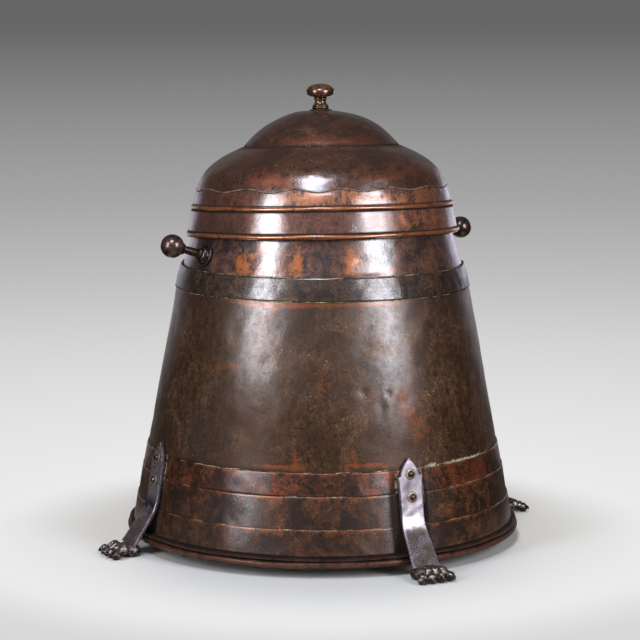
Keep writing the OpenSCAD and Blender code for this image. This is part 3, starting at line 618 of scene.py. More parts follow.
def neck_sheet():
    """The neck's sheet, whose line climbs inside the wall and rolls outwards round the mouth's wire"""
    z = np.linspace(SHOULDER_Z + SOLDER, MOUTH_Z - 3, 60)
    rise = np.stack([outline_r(z) - WALL, z], axis=1)
    roll = arc((MOUTH_R, MOUTH_Z), ROLL_D / 2 - ROLL_WALL, 185, -92, 24)
    line = np.concatenate([rise, roll])
    thick = np.concatenate([np.full(len(rise), WALL), np.full(len(roll), ROLL_WALL)])
    outline = sheet(line, thick)[::-1]
    r, a, z = lathe(outline, full_turn(480))
    p = points_of(r, a, z)
    shown = smooth(z, UPPER_HOOP[1], UPPER_HOOP[1] + 6) * (1 - smooth(z, LIP_LOW_Z - 8, LIP_LOW_Z))
    p = points_of(r + 0.22 * shown * swell(p * [1, 1, 0.5], 60, 3), a, z)
    wear_and_highlight = spots(a, r, z, [(202.5, 360, 17, 22, 0.45), (212, 362, 10, 20, 0.2), (226, 363, 13, 20, 0.42),
                          (237, 361, 18, 18, -0.4), (248, 363, 13, 20, 0.42), (265, 360, 7, 22, 0.25),
                          (290, 362, 50, 40, -0.4)])
    # Darker round the handles' roses and along the upper hoop's top edge
    grime_and_shade = spots(a, r, z, [(180, 362, 22, 18, 0.8), (0, 362, 22, 18, 0.8)]) + np.exp(-((z - UPPER_HOOP[1]) / 1.2) ** 2)
    marks = {"wear_and_highlight": wear_and_highlight, "grime_and_shade": np.clip(grime_and_shade, 0, 1) * 0.6, "powder": wear_and_highlight * 0}
    piece("neck_sheet", [(p, True, True)], marks=marks, stands_for="neck", slot="copper_neck")


def edge_marks(r, a, z, z_low, z_high, rub_edge, table=()):
    """Marks of a strip: rubbed towards its edges, with spots from a table, a painted shadow line along its lower edge,
    painted shadow beside each strap, darker patches on the left, and powder beside the straps
    """
    edge = np.exp(-((z - z_low) / 2.5) ** 2) + np.exp(-((z - z_high) / 2.5) ** 2)
    # Painted shadow: a dark line along the strip's lower edge, and dark beside each strap, wider on one side; dark also
    # holds darker patches on the left
    edge_shadow = np.exp(-((z - z_low) / 1.3) ** 2)
    beside, dark = r * 0, spots(a, r, z, [(193, 40, 34, 22, 0.4), (190, 70, 30, 14, 0.2), (203, 66, 19, 50, 0.38)])
    for i in range(4):
        for side in (-1, 1):
            turn = LEG_TURN + 90 * i + side * math.degrees((STRAP_W / 2 + 1.5) / FOOT_R)
            beside += spots(a, r, z, [(turn, 104, 2.2, 36, 0.62)])
            dark += spots(a, r, z, [(turn + side * 0.6, 70, 5 - 2 * side, 60, 0.9)])
    return {"wear_and_highlight": rub_edge * edge + spots(a, r, z, table), "grime_and_shade": np.clip(0.9 * edge_shadow + dark, 0, 0.95),
            "powder": beside, "film": spots(a, r, z, [(202, 66, 12, 60, 0.7)])}


def hoop(name, node, slot, ends, lap_az, seed, table=()):
    """A hoop on the wall with a lap, where its outer end steps over the inner one"""
    lap = math.radians(lap_az)
    extra = lap + np.array([-0.0005, 0.0, 0.03, 0.06]) * 1.0
    outline = band_outline(ends[0], ends[1], SOLDER, SOLDER + BAND_T, 26)
    r, a, z = lathe(outline, full_turn(540, extra))
    turn = np.mod(a - lap + 1e-9, TAU)
    step = np.where(turn < 0.06, 1 - smooth(turn, 0.0, 0.06), 0) * 0.9
    outer = r > outline_r(z) + SOLDER + BAND_T / 2
    p = points_of(r, a, z)
    wave = 0.22 * swell(p, 60, seed) + 0.08 * swell(p, 18, seed + 1)
    p = points_of(r + outer * (step + 0.25 + wave * 0.8), a, z + 0.25 * swell(p * [1, 1, 0], 90, seed + 2))
    piece(name, [(p, True, True)], marks=edge_marks(r, a, z, *ends, 0.25, table), stands_for=node, slot=slot)


def solder_line(name, z, proud, start=0, end=360, seed=1, thick=0.5):
    """A run of solder along an edge: a round bead whose middle wanders and whose thickness comes and goes"""
    whole = end - start >= 360
    steps = int(2.4 * (end - start))
    a = np.radians(np.linspace(start, end, steps, endpoint=not whole))[:, None]
    k = np.linspace(0, TAU, 8, endpoint=False)[None, :]
    ring = points_of(outline_r(z), a[:, 0], z)
    wander = 0.35 * swell(ring, 26, seed)[:, None]
    heft = thick * np.clip(0.85 + 0.35 * swell(ring, 9, seed + 1) + 0.3 * swell(ring, 60, seed + 2), 0.25, 1.5)[:, None]
    if not whole:
        heft = heft * np.sqrt(np.clip(np.minimum(a - a[0], a[-1] - a) * FOOT_R / 3 + 0.02, 0, 1))
    r = outline_r(z) + proud + heft * np.cos(k)
    p = points_of(r, np.broadcast_to(a, r.shape), z + wander + heft * np.sin(k))
    return p, whole, True


def foot_strips():
    """Two tiers of strips between the legs, each tier standing out over the one above"""
    half = STRAP_W / 2
    first = math.degrees((half + STRIP_GAP_NEAR) / FOOT_R)
    last = 90 - math.degrees((half + STRIP_GAP_FAR) / FOOT_R)
    upper_out = 2 * SOLDER + 2 * BAND_T
    tiers = [("upper", STRIP_SPLIT_Z - 10, LOWER_HOOP[0] - SOLDER, SOLDER, upper_out),
             ("lower", FOOT_Z + SOLDER, STRIP_SPLIT_Z, upper_out + SOLDER, upper_out + SOLDER + BAND_T)]
    beads = []
    for i in range(1, 5):
        turn = LEG_TURN + 90 * (i - 1)
        for tier, z_low, z_high, inner, outer in tiers:
            angles = np.radians(np.linspace(turn + first, turn + last, 200))
            r, a, z = lathe(band_outline(z_low, z_high, inner, outer, 22), angles)
            p = points_of(r, a, z)
            outside = r > outline_r(z) + inner + BAND_T / 2
            p = points_of(r + outside * (0.1 + 0.16 * swell(p, 50, 20 + i)), a, z)
            name = "foot_strip_%s_%d" % (tier, i)
            table = [(288, 70, 80, 60, 0.26), (215, z_high - 5, 70, 5, 0.3), (245, z_high - 4, 40, 4, 0.3)]
            piece(name + "_sheet", [(p, False, True)], marks=edge_marks(r, a, z, z_low, z_high, 0.3, table),
                  stands_for=name, slot="copper_foot")
            beads.append(solder_line("", z_high - 0.1, outer - 0.75, turn + first, turn + last, 40 + i + len(tier),
                                     thick=0.4))
    return beads


def hoops_and_solder():
    """Both hoops and all the solder runs"""
    hoop("upper_hoop", "upper_band", "copper_upper_hoop", UPPER_HOOP, 267, 11)
    hoop("lower_hoop", "lower_band", "copper_lower_hoop", LOWER_HOOP, 130, 12,
         [(225, 108, 30, 20, 0.25), (250, 106, 30, 20, 0.2), (258, 110, 12, 20, 0.3),
          (288, 108, 60, 20, 0.35)])
    beads = foot_strips()
    beads.append(solder_line("", UPPER_HOOP[1] + 0.35, 0.75, seed=5))
    beads.append(solder_line("", UPPER_HOOP[0] - 0.35, 0.75, seed=6))
    beads.append(solder_line("", LOWER_HOOP[1] + 0.35, 0.85, seed=7, thick=0.46))
    piece("solder_runs", beads, slot="brass_braze", look=SOLDER_LOOK)


def base():
    """The turned-out flange, and the base plate with its rolled rim"""
    inside_r = FOOT_R - WALL - SOLDER
    top = FOOT_Z - SOLDER
    line = np.concatenate([[[inside_r - 2.6, top + 14]], arc((inside_r + 1, top + 1), 1, 180, 270, 4),
                           np.array([[FOOT_R + 3, top], [FLANGE_R - 0.3, top - FLANGE_DROOP]])])
    outline = sheet(line, -BASE_T)
    r, a, z = lathe(outline, full_turn(480))
    p = points_of(r, a, z)
    drop = 0.35 * swell(p * [1, 1, 0], 90, 31) * smooth(r, FOOT_R, FLANGE_R)
    wear_and_highlight = smooth(r, FLANGE_R - 2, FLANGE_R) * 0.5
    marks = {"wear_and_highlight": wear_and_highlight, "grime_and_shade": 0.8 * (1 - smooth(r, FOOT_R + 3, FOOT_R + 6)), "powder": r * 0}
    piece("flange_sheet", [(points_of(r, a, z + np.clip(drop, -0.3, 0.4)), True, True)], marks=marks,
          stands_for="foot_flange", slot="copper_base")
    bend = RIM_MID_R - RIM_D
    radius = RIM_D / 2
    under = np.array([[0, BASE_TOP_Z - BASE_T], [bend * 0.5, BASE_TOP_Z - BASE_T], [bend - 2, BASE_TOP_Z - BASE_T],
                      [RIM_MID_R - radius, RIM_MID_Z + 1]])
    rim = arc((RIM_MID_R, RIM_MID_Z), radius, 165, 465, 26)
    over = np.array([[bend + 1, BASE_TOP_Z], [bend * 0.5, BASE_TOP_Z], [0, BASE_TOP_Z]])
    outline = np.concatenate([under, rim, over])
    r, a, z = lathe(outline, full_turn(360))
    wear_and_highlight = smooth(r, RIM_MID_R + 2, RIM_R) * 0.5
    grime_and_shade = 0.5 * (1 - smooth(r, RIM_MID_R - 6, RIM_MID_R + 2)) + spots(a, r, z, [(300, RIM_MID_Z, 60, 20, 0.25)])
    marks = {"wear_and_highlight": wear_and_highlight, "grime_and_shade": grime_and_shade, "powder": r * 0}
    p = points_of(r, a, z)
    lift = 0.3 * swell(p * [1, 1, 0], 120, 33) * smooth(r, bend, RIM_R)
    piece("base_sheet", [(points_of(r, a, z + np.clip(lift, -0.5, 0.3)), True, False)], marks=marks,
          stands_for="base_plate", slot="copper_base", weld=True)


# Lid

def seam_wave(a):
    """Height of the wavy seam over its middle line: a sine whose pitch and height drift round the lid"""
    return SEAM_AMP * np.sin(SEAM_WAVES * a + 0.87 * np.sin(3 * a)) * (0.8 + 0.2 * np.sin(2 * a))


def dome_line():
    """Outer line of the dome from the seam up to the ledge: the round zone, then a curve into the crease"""
    turn_h = SEAM_H + 11
    start = np.array([dome_at(turn_h), turn_h])
    along = np.array([-turn_h, dome_at(turn_h)]) / DOME_R
    crease = np.array([CAP_R + 1, LEDGE_H])
    pull = crease - np.array([(crease - start)[0] * 0.41, 9])
    zone = np.linspace(SEAM_H + SOLDER, turn_h, 26)[:-1]
    return np.concatenate([np.stack([dome_at(zone), zone], axis=1), curve(start, start + along * 22, pull, crease, 60),
                           [[CAP_R - 4, LEDGE_H], [CAP_R - 8, LEDGE_H]]])


def lid():
    """Skirt, beads, collar, dome and cap, each an outline carried round the lid's own axis and gently uneven"""
    angles = full_turn(480)
    on_lid = dict(place=LID, body="lid")

    h = np.linspace(-SKIRT_DROP, SKIRT_TOP - SOLDER, 30)
    r, a, z = lathe(sheet(np.stack([skirt_r(h), h], axis=1), LID_T), angles)
    p = points_of(r, a, z)
    # Painted shade: dark lines in the crevices just above the lower bead and just under the upper bead; also a darker
    # patch on the left
    crevice_shade = np.exp(-((z - 3.8) / 1.4) ** 2) + np.exp(-((z - SKIRT_TOP + 3.2) / 1.4) ** 2)
    marks = {"wear_and_highlight": spots(a, r, z, [(215, 16, 30, 12, 0.2), (256, 16, 30, 12, 0.15), (290, 16, 55, 16, 0.4),
                                   (190, 16, 30, 30, -0.3)]),
             "grime_and_shade": np.clip(0.95 * crevice_shade + spots(a, r, z, [(183, 16, 45, 40, 0.5)]), 0, 0.95),
             "powder": r * 0, "film": spots(a, r, z, [(258, 16, 9, 18, 0.3)])}
    piece("skirt_sheet", [(points_of(r + 0.25 * swell(p, 60, 51), a, z), True, True)], marks=marks,
          stands_for="lid_skirt", slot="copper_skirt", **on_lid)

    for name, node, height, seed in (("lip_bead", "lid_bead_lower", BEAD_D / 2 - SKIRT_DROP, 52),
                                     ("shoulder_bead", "lid_bead_upper", SKIRT_TOP, 53)):
        middle = skirt_r(height) + BEAD_PROUD - BEAD_D / 2
        r, a, z = lathe(arc((middle, height), BEAD_D / 2, -120, 120, 14), angles)
        p = points_of(r, a, z)
        sway = 0.22 * swell(p, 70, seed)
        p = points_of(r + sway, a, z + 0.3 * swell(p * [1, 1, 0], 50, seed + 5))
        # Painted shade: the underside of each bead is darkened
        marks = {"wear_and_highlight": 0.35 * np.cos((z - height) / BEAD_D * 2), "powder": r * 0,
                 "grime_and_shade": 0.9 * (1 - smooth(z, height - 1.9, height - 0.9))}
        piece(name, [(p, True, True)], marks=marks, stands_for=node, slot="copper_bead", **on_lid)

    h = np.linspace(SKIRT_TOP, SEAM_H, 26)
    outline = sheet(np.stack([dome_at(h), h], axis=1), LID_T)
    r, a, z = lathe(outline, angles)
    z = z + seam_wave(a) * smooth(z, SKIRT_TOP + 4, SEAM_H)
    sunk = dome_at(np.clip(z, 0, DOME_R)) - dome_at(np.clip(lathe(outline, angles)[2], 0, DOME_R))
    r = r + sunk + 0.2 * swell(points_of(r, a, z), 60, 55) * (1 - smooth(z, SEAM_H - 8, SEAM_H))
    # Darker along the wavy seam and at two lap seams, and a line of painted shade in the crevice just above the upper
    # bead
    groove = np.exp(-((z - SEAM_H - seam_wave(a)) / 1.1) ** 2) + np.exp(-((z - SKIRT_TOP - 3.4) / 1.1) ** 2)
    groove = groove + spots(a, r, z, [(244.5, 50, 0.7, 6, 1.0), (263, 46, 2, 3.5, 0.8)])
    marks = {"wear_and_highlight": spots(a, r, z, [(230, 45, 34, 14, 0.5), (256, 45, 40, 14, 0.42), (288, 45, 50, 14, 0.42)]), "grime_and_shade": 0.8 * groove,
             "powder": r * 0}
    piece("collar_sheet", [(points_of(r, a, z), True, True)], marks=marks, stands_for="lid_collar",
          slot="copper_skirt", **on_lid)

    line = dome_line()
    r, a, z = lathe(sheet(line, LID_T), angles)
    fade = 1 - smooth(z, SEAM_H, SEAM_H + 12)
    moved = z + seam_wave(a) * fade
    r = np.where(z < SEAM_H + 12, r + dome_at(np.clip(moved, 0, DOME_R)) - dome_at(np.clip(z, 0, DOME_R)), r)
    p = points_of(r, a, moved)
    uneven = smooth(z, SEAM_H, SEAM_H + 14)
    bubbles = spots(a, r, z, [(229, 84, 4, 4, -0.5), (235, 78, 5, 5, 0.35), (240, 73, 5, 5, -0.4), (231, 74, 4, 4, 0.3)])
    r = r + 0.45 * fade + uneven * (0.35 * swell(p, 90, 56) + 0.12 * swell(p, 26, 57) + bubbles)
    # Painted shade in the crease where the dome turns in under the cap
    crease = smooth(z, LEDGE_H - 5, LEDGE_H - 0.5)
    groove = np.exp(-((moved - SEAM_H - seam_wave(a)) / 0.9) ** 2)
    wear_and_highlight = spots(a, r, z, [(218, 66, 40, 12, 0.45), (205, 68, 30, 12, 0.3), (262, 68, 40, 12, 0.3), (245, 66, 30, 9, 0.2),
                          (290, 76, 50, 22, 0.4)])
    marks = {"wear_and_highlight": wear_and_highlight, "grime_and_shade": np.clip(0.8 * groove + 0.5 * crease, 0, 1), "powder": r * 0}
    piece("dome_sheet", [(points_of(r, a, moved), True, True)], marks=marks, stands_for="lid_dome",
          slot="copper_dome", **on_lid)

    bend = np.array([CAP_R * 0.678, CAP_Z + CAP_H * 0.605])
    slant = np.array([-0.866, 0.5])
    line = np.concatenate([
        curve((CAP_R, CAP_Z), (CAP_R - 3.2, CAP_Z + 5), bend - 16 * slant, bend, 30),
        curve(bend, bend + 12 * slant, (CAP_R * 0.39, CAP_Z + CAP_H - 3.2), (16, CAP_Z + CAP_H - 2.2), 26)[1:],
        curve((15, CAP_Z + CAP_H - 1.9), (13.5, CAP_Z + CAP_H - 0.6), (12.5, CAP_Z + CAP_H),
              (11, CAP_Z + CAP_H), 6),
        [[5, CAP_Z + CAP_H], [0, CAP_Z + CAP_H]]])
    inner = line + side_of(line) * LID_T
    inner[:, 1] = np.maximum(inner[:, 1], CAP_Z)
    inner[-1, 0] = 0
    outline = np.concatenate([inner[::-1], line])
    r, a, z = lathe(outline, angles)
    p = points_of(r, a, z)
    lift = 0.4 * swell(p, 70, 58) * smooth(z, CAP_Z, CAP_Z + 8) * smooth(r, 12, 30)
    # Painted shade round the cap's foot, in the crease
    foot = np.exp(-((z - CAP_Z) / (2.6 + 1.1 * swell(p, 30, 59))) ** 2)
    wear_and_highlight = spots(a, r, z, [(225, CAP_Z + 6, 40, 6, 0.5), (268, CAP_Z + 7, 40, 6, 0.5)])
    marks = {"wear_and_highlight": wear_and_highlight, "grime_and_shade": 0.7 * foot, "powder": r * 0}
    piece("cap_sheet", [(points_of(r, a, z + lift), True, False)], marks=marks, stands_for="lid_cap",
          slot="copper_dome", weld=True, **on_lid)


def lid_seam():
    """The braze that runs along the wavy seam: a thin round bead that comes and goes"""
    a = full_turn(1080)[:, None]
    k = np.linspace(0, TAU, 8, endpoint=False)[None, :]
    h = SEAM_H + seam_wave(a) + 0.2
    ring = points_of(dome_at(h), a, h)[:, 0]
    heft = 0.52 * np.clip(0.9 + 0.3 * swell(ring, 12, 61) + 0.2 * swell(ring, 50, 62), 0.35, 1.4)[:, None]
    out = DOME_R + 0.55 + heft * np.cos(k)
    up = np.arcsin(h / DOME_R) + heft * np.sin(k) / DOME_R
    p = points_of(out * np.cos(up), np.broadcast_to(a, out.shape), out * np.sin(up))
    piece("seam_braze", [(p, True, True)], place=LID, body="lid", stands_for="lid_seam_braze", slot="brass_braze")


def knob():
    """The turned knob: foot ring, waist and button, carried round its axis"""
    foot = KNOB_Z + SOLDER
    top = foot + KNOB_H - 0.15
    ring, waist, head = KNOB_RING_D / 2, KNOB_WAIST_D / 2, KNOB_D / 2
    outline = np.concatenate([
        [[0, foot], [ring - 2.5, foot]],
        arc((ring - 1.6, foot + 1.6), 1.6, -80, 80, 8),
        arc((ring - 1.8, foot + 4.1), 1.1, -70, 60, 6),
        curve((ring - 2.2, foot + 5.2), (waist - 0.5, foot + 7), (waist - 1.2, foot + KNOB_H * 0.28),
              (waist + 0.2, foot + KNOB_H * 0.36), 12),
        arc((waist + 0.0, foot + KNOB_H * 0.36 + 1.0), 0.9, -60, 80, 6),
        curve((waist + 0.2, foot + KNOB_H * 0.36 + 2.1), (waist + 2.5, foot + KNOB_H * 0.46),
              (head * 0.8, foot + KNOB_H * 0.45), (head * 0.93, foot + KNOB_H * 0.55), 8),
        curve((head * 0.95, foot + KNOB_H * 0.58), (head * 1.07, foot + KNOB_H * 0.72),
              (head * 0.86, top), (0, top), 26)])
    r, a, z = lathe(outline, full_turn(128))
    grime_and_shade = np.exp(-((z - foot - 5) / 1.0) ** 2) * 0.6
    piece("lid_knob_turned", [(points_of(r, a, z), True, False)], place=LID, body="lid", weld=True,
          marks={"wear_and_highlight": smooth(z, foot + KNOB_H * 0.5, foot + KNOB_H) * 0.4, "grime_and_shade": grime_and_shade},
          stands_for="lid_knob", slot="bronze_knob")


# Handles

def handle_place(turn):
    """Place of a handle: its own Z points out along the stalk, with the neck's outer face at zero"""
    lip = LID_Z - SKIRT_DROP - DOME_R * math.sin(LEAN) * abs(math.cos(LEAN_AZ))
    z = lip - ROSE_GAP - ROSE_D / 2
    rise = math.atan((outline_r(z - 4) - outline_r(z + 4)) / 8)
    shift = np.array([outline_r(z), 0, z])
    return inside((turn_z(math.radians(turn)), np.zeros(3)), (turn_y(math.pi / 2 - rise), shift))


def handles():
    """Two ball lugs, each turned in one with its stalk, and the dished roses behind them"""
    top = HANDLE_REACH - BALL_D / 2
    r0 = STALK_D / 2
    stalk = np.concatenate([
        [[0, ROSE_H + 2], [r0 * 1.25, ROSE_H + 3.1]],
        arc((r0 * 1.12, ROSE_H + 4.6), 1.5, -70, 80, 8),
        curve((r0 * 1.0, ROSE_H + 6.6), (r0 * 1.06, ROSE_H + 9), (r0 * 1.06, top - 9), (r0 * 0.94, top - 3), 12),
        arc((r0 * 1.12, top - 0.9), 1.3, -70, 70, 8)])
    neck_angle = math.degrees(math.acos(min(1.0, r0 * 1.05 / (BALL_D / 2))))
    ball = arc((0, HANDLE_REACH), BALL_D / 2, -neck_angle, 90, 40)
    edge = ROSE_D / 2
    rose = np.concatenate([
        [[SHANK_D / 2, SOLDER], [edge - 0.6, SOLDER]],
        arc((edge - 1.0, SOLDER + 1.1), 1.0, -80, 90, 8),
        [[edge - 2.4, SOLDER + 1.6]],
        curve((edge - 2.6, SOLDER + 2.0), (edge - 2.6, ROSE_H + 0.5), (edge - 5, ROSE_H + 3), (SHANK_D / 2 + 2, ROSE_H + 3), 14),
        [[SHANK_D / 2, ROSE_H + 3]]])
    for side, turn in (("right", 0), ("left", 180)):
        place = handle_place(turn)
        r, a, z = lathe(np.concatenate([stalk, ball]), full_turn(96))
        grime_and_shade = np.exp(-((z - ROSE_H - 3.2) / 0.8) ** 2) + np.exp(-((z - top - 0.6) / 0.8) ** 2)
        piece("handle_%s_turned" % side, [(points_of(r, a, z), True, False)], place=place, weld=True,
              marks={"wear_and_highlight": smooth(z, top, HANDLE_REACH) * 0.3, "grime_and_shade": np.clip(grime_and_shade, 0, 1) * 0.7},
              stands_for="handle_" + side, slot="bronze_handle")
        r, a, z = lathe(rose, full_turn(96))
        piece("rose_%s_turned" % side, [(points_of(r, a, z), True, True)], place=place,
              marks={"wear_and_highlight": smooth(r, edge - 2, edge) * 0.6, "grime_and_shade": np.exp(-((r - edge + 2.6) / 0.7) ** 2) * 0.9},
              stands_for="handle_rose_" + side, slot="bronze_handle")


# Legs

WALL_SLOPE = float((outline_r(BEND_Z) - outline_r(STRAP_TIP_Z)) / (STRAP_TIP_Z - BEND_Z))
WALL_LEAN = math.atan(WALL_SLOPE)
STRAP_IN_R = float(outline_r(LOWER_HOOP_Z)) + BAND_T + 3 * SOLDER


def strap_line(steps=150):
    """Inner face of the strap seen from the side, as points and outward normals at even steps along it: straight down
    the wall, an arc outwards, then straight into the paw"""
    start = np.array([STRAP_IN_R + (LOWER_HOOP_Z - BEND_Z) * WALL_SLOPE, BEND_Z])
    tip = np.array([STRAP_IN_R + (LOWER_HOOP_Z - STRAP_TIP_Z) * WALL_SLOPE, STRAP_TIP_Z])
    lean = np.linspace(WALL_LEAN, SPLAY, 40)
    bent = start + BEND_R * np.stack([math.cos(WALL_LEAN) - np.cos(lean), math.sin(WALL_LEAN) - np.sin(lean)], axis=1)
    drop = bent[-1, 1] - STRAP_END_Z
    last = bent[-1] + [drop * math.tan(SPLAY), -drop]
    line = np.concatenate([[tip], bent, [last]])
    run = np.concatenate([[0], np.cumsum(np.linalg.norm(np.diff(line, axis=0), axis=1))])
    s = np.concatenate([np.linspace(0, 26, 50)[:-1], np.linspace(26, run[-1], steps - 49)])
    x, z = np.interp(s, run, line[:, 0]), np.interp(s, run, line[:, 1])
    angle = np.interp(s, run, np.concatenate([[WALL_LEAN], lean, [SPLAY]]))
    return s, np.stack([x, z], axis=1), np.stack([np.cos(angle), np.sin(angle)], axis=1)


def strap_half(z):
    """Half the strap's width at a height: a pointed arch at the tip, two spurs, a waist and a wider foot"""
    spur_z = RIVET_ZS[0] - 3
    neck_w = STRAP_W * 0.37
    arch = curve((0, STRAP_TIP_Z), (neck_w * 0.3, STRAP_TIP_Z - 4), (neck_w * 0.85, STRAP_TIP_Z - 10),
                 (neck_w, spur_z + 1.2), 30)
    rest = curve((STRAP_W / 2 - 0.6, spur_z - 5), (STRAP_WAIST_W / 2, BEND_Z - 4),
                 (STRAP_WAIST_W / 2 + 1.5, BEND_Z - 30), (STRAP_FOOT_W / 2 + 1.8, STRAP_END_Z), 40)
    edge = np.concatenate([arch, [[STRAP_W / 2 + 0.3, spur_z]], rest])
    return np.interp(-z, -edge[:, 1], edge[:, 0])


def strap():
    """Grid and marks of a strap: a rounded bar's section whose width follows the outline, carried down the line"""
    s, line, normal = strap_line()
    w = strap_half(line[:, 1])[:, None]
    e = np.minimum(1.3, w * 0.98)
    across = np.linspace(-1, 1, 17)
    bow = np.radians(np.linspace(0, 90, 6))
    one = np.ones_like
    # Section points as (share of the flat's half width, share of the edge's radius sideways, the same for thickness)
    flat_x = np.concatenate([across, one(bow), one(bow), -across, -one(bow), -one(bow)])
    edge_x = np.concatenate([0 * across, np.sin(bow), np.cos(bow), 0 * across, -np.sin(bow), -np.cos(bow)])
    face = np.concatenate([one(across), one(bow), -one(bow), -one(across), -one(bow), one(bow)])
    edge_n = np.concatenate([one(across), np.cos(bow), -np.sin(bow), -one(across), -np.cos(bow), np.sin(bow)])
    side = flat_x * (w - e) + edge_x * e
    e_n = np.minimum(e, STRAP_T / 2)
    out = STRAP_T / 2 + face * (STRAP_T / 2 - e_n) + edge_n * e_n
    base_points = np.stack([line[:, None, 0] + out * normal[:, None, 0], side,
                            line[:, None, 1] + out * normal[:, None, 1]], axis=-1)
    front = (face * edge_n > 0) * (face > 0)
    hammered = 0.05 * swell(base_points, 13, 71) + 0.2 * swell(base_points, 34, 72)
    hammered = np.clip(hammered, -0.5, 0.35) * front
    p = base_points + hammered[..., None] * np.stack([normal[:, 0], 0 * s, normal[:, 1]], axis=-1)[:, None]
    z = p[..., 2]
    edge = (np.abs(side) > w - 1.5) & (face > 0)
    # The marks paint light and shade on the strap: a painted highlight, lighter above the bend and toned down towards
    # the tip, and painted shade, darker below the bend and on the face against the wall; the edges are rubbed lighter
    grime_and_shade = 0.68 * (1 - smooth(z + 2.5 * swell(base_points, 9, 73), 40, 60)) + 0.3 * (face < 0)
    grime_and_shade = grime_and_shade + 0.3 * smooth(z + 3 * swell(base_points, 12, 74), 78, 90)
    return p, {"wear_and_highlight": 0.5 * edge + 0.6 * smooth(z, 52, 60) - 0.1, "grime_and_shade": np.clip(grime_and_shade, 0, 0.8)}


def tube(path, radii, sides=20, squash=1.0):
    """A round bar along a path whose radius changes, closed to a point at both ends; squash flattens it upright"""
    way = np.gradient(path, axis=0)
    way /= np.linalg.norm(way, axis=1, keepdims=True)
    across = np.stack([-way[:, 1], way[:, 0], 0 * way[:, 0]], axis=1)
    across /= np.linalg.norm(across, axis=1, keepdims=True)
    upward = np.cross(way, across)
    k = np.linspace(0, TAU, sides, endpoint=False)[None, :, None]
    r = np.asarray(radii)[:, None, None]
    return path[:, None] + r * (np.cos(k) * across[:, None] + squash * np.sin(k) * upward[:, None])


TOES = 4
DULL_LEG = 3
TOE_L = 30


def toe(k):
    """Grid of one toe: a bar that arches over its knuckles, swells at each of them and ends round and low"""
    t = np.linspace(0, 1, 44)
    turn = math.radians(14.5 * k)
    x = TOE_L * t
    z = 7.6 + 2.6 * np.exp(-((t - 0.38) / 0.2) ** 2) - 2.0 * smooth(t, 0.55, 0.85)
    path = np.stack([x * math.cos(turn), 6.4 * k + x * math.sin(turn), z], axis=1)
    knuckles = 4.6 + 2.6 * np.exp(-((t - 0.36) / 0.13) ** 2) + 2.1 * np.exp(-((t - 0.8) / 0.12) ** 2)
    round_end = np.sqrt(np.clip(1 - (np.clip(t - 0.82, 0, 1) / 0.18) ** 2, 0, 1))
    round_start = np.sqrt(np.clip(1 - (np.clip(0.12 - t, 0, 1) / 0.12) ** 2, 0, 1))
    return tube(path, np.maximum(knuckles * round_end * round_start, 0.01), squash=0.95)


def claw(k):
    """Grid of one claw: a short blunt cone that points out and down from a toe's end"""
    t = np.linspace(0, 1, 16)
    turn = math.radians(14.5 * k)
    x = TOE_L * 0.84 + 7 * t
    path = np.stack([x * math.cos(turn), 6.4 * k + x * math.sin(turn), 6.5 - 3.4 * t * t], axis=1)
    return tube(path, np.maximum(3.0 * np.sqrt(1 - t * t), 0.01), 12)


def paw_mesh():
    """One cast paw as a mesh in its own frame: toes, claws and pad grown together and cut flat at the floor"""
    rows = np.arange(TOES) - (TOES - 1) / 2
    grids = [(shape(k), False, True) for k in rows for shape in (toe, claw)]
    t = np.linspace(-1, 1, 30)
    bulge = np.sqrt(np.clip(1 - t * t, 0, 1))
    pad_path = np.stack([-15 + 22 * (t + 1) / 2, 0 * t, 6.5 + 0 * t], axis=1)
    grids.append((tube(pad_path, np.maximum(19.5 * bulge ** 0.5, 0.01), 32, 0.52), False, True))
    coords, quads, ends = mesh_of(grids)
    mesh = bpy.data.meshes.new("paw")
    mesh.from_pydata((coords * MM).tolist(), [], quads.tolist() + ends)
    merge(mesh)
    rough = bpy.data.objects.new("paw_rough", mesh)
    bpy.context.scene.collection.objects.link(rough)
    grow = rough.modifiers.new("Grow together", "REMESH")
    grow.mode = "VOXEL"
    grow.voxel_size = 0.75 * MM
    ease = rough.modifiers.new("Ease", "SMOOTH")
    ease.factor = 0.5
    ease.iterations = 4
    graph = bpy.context.evaluated_depsgraph_get()
    whole = bpy.data.meshes.new_from_object(rough.evaluated_get(graph))
    bpy.data.objects.remove(rough)
    coords = np.empty(len(whole.vertices) * 3)
    whole.vertices.foreach_get("co", coords)
    faces = np.empty(len(whole.loops), int)
    whole.loops.foreach_get("vertex_index", faces)
    sizes = np.empty(len(whole.polygons), int)
    whole.polygons.foreach_get("loop_total", sizes)
    p = coords.reshape(-1, 3) / MM
    p = p + 0.12 * swell(p, 3.5, 81)[:, None] * [1, 1, 1] + 0.1 * swell(p, 2.0, 82)[:, None]
    p[:, 2] = np.maximum(p[:, 2], 0)
    return p, np.split(faces, np.cumsum(sizes)[:-1])


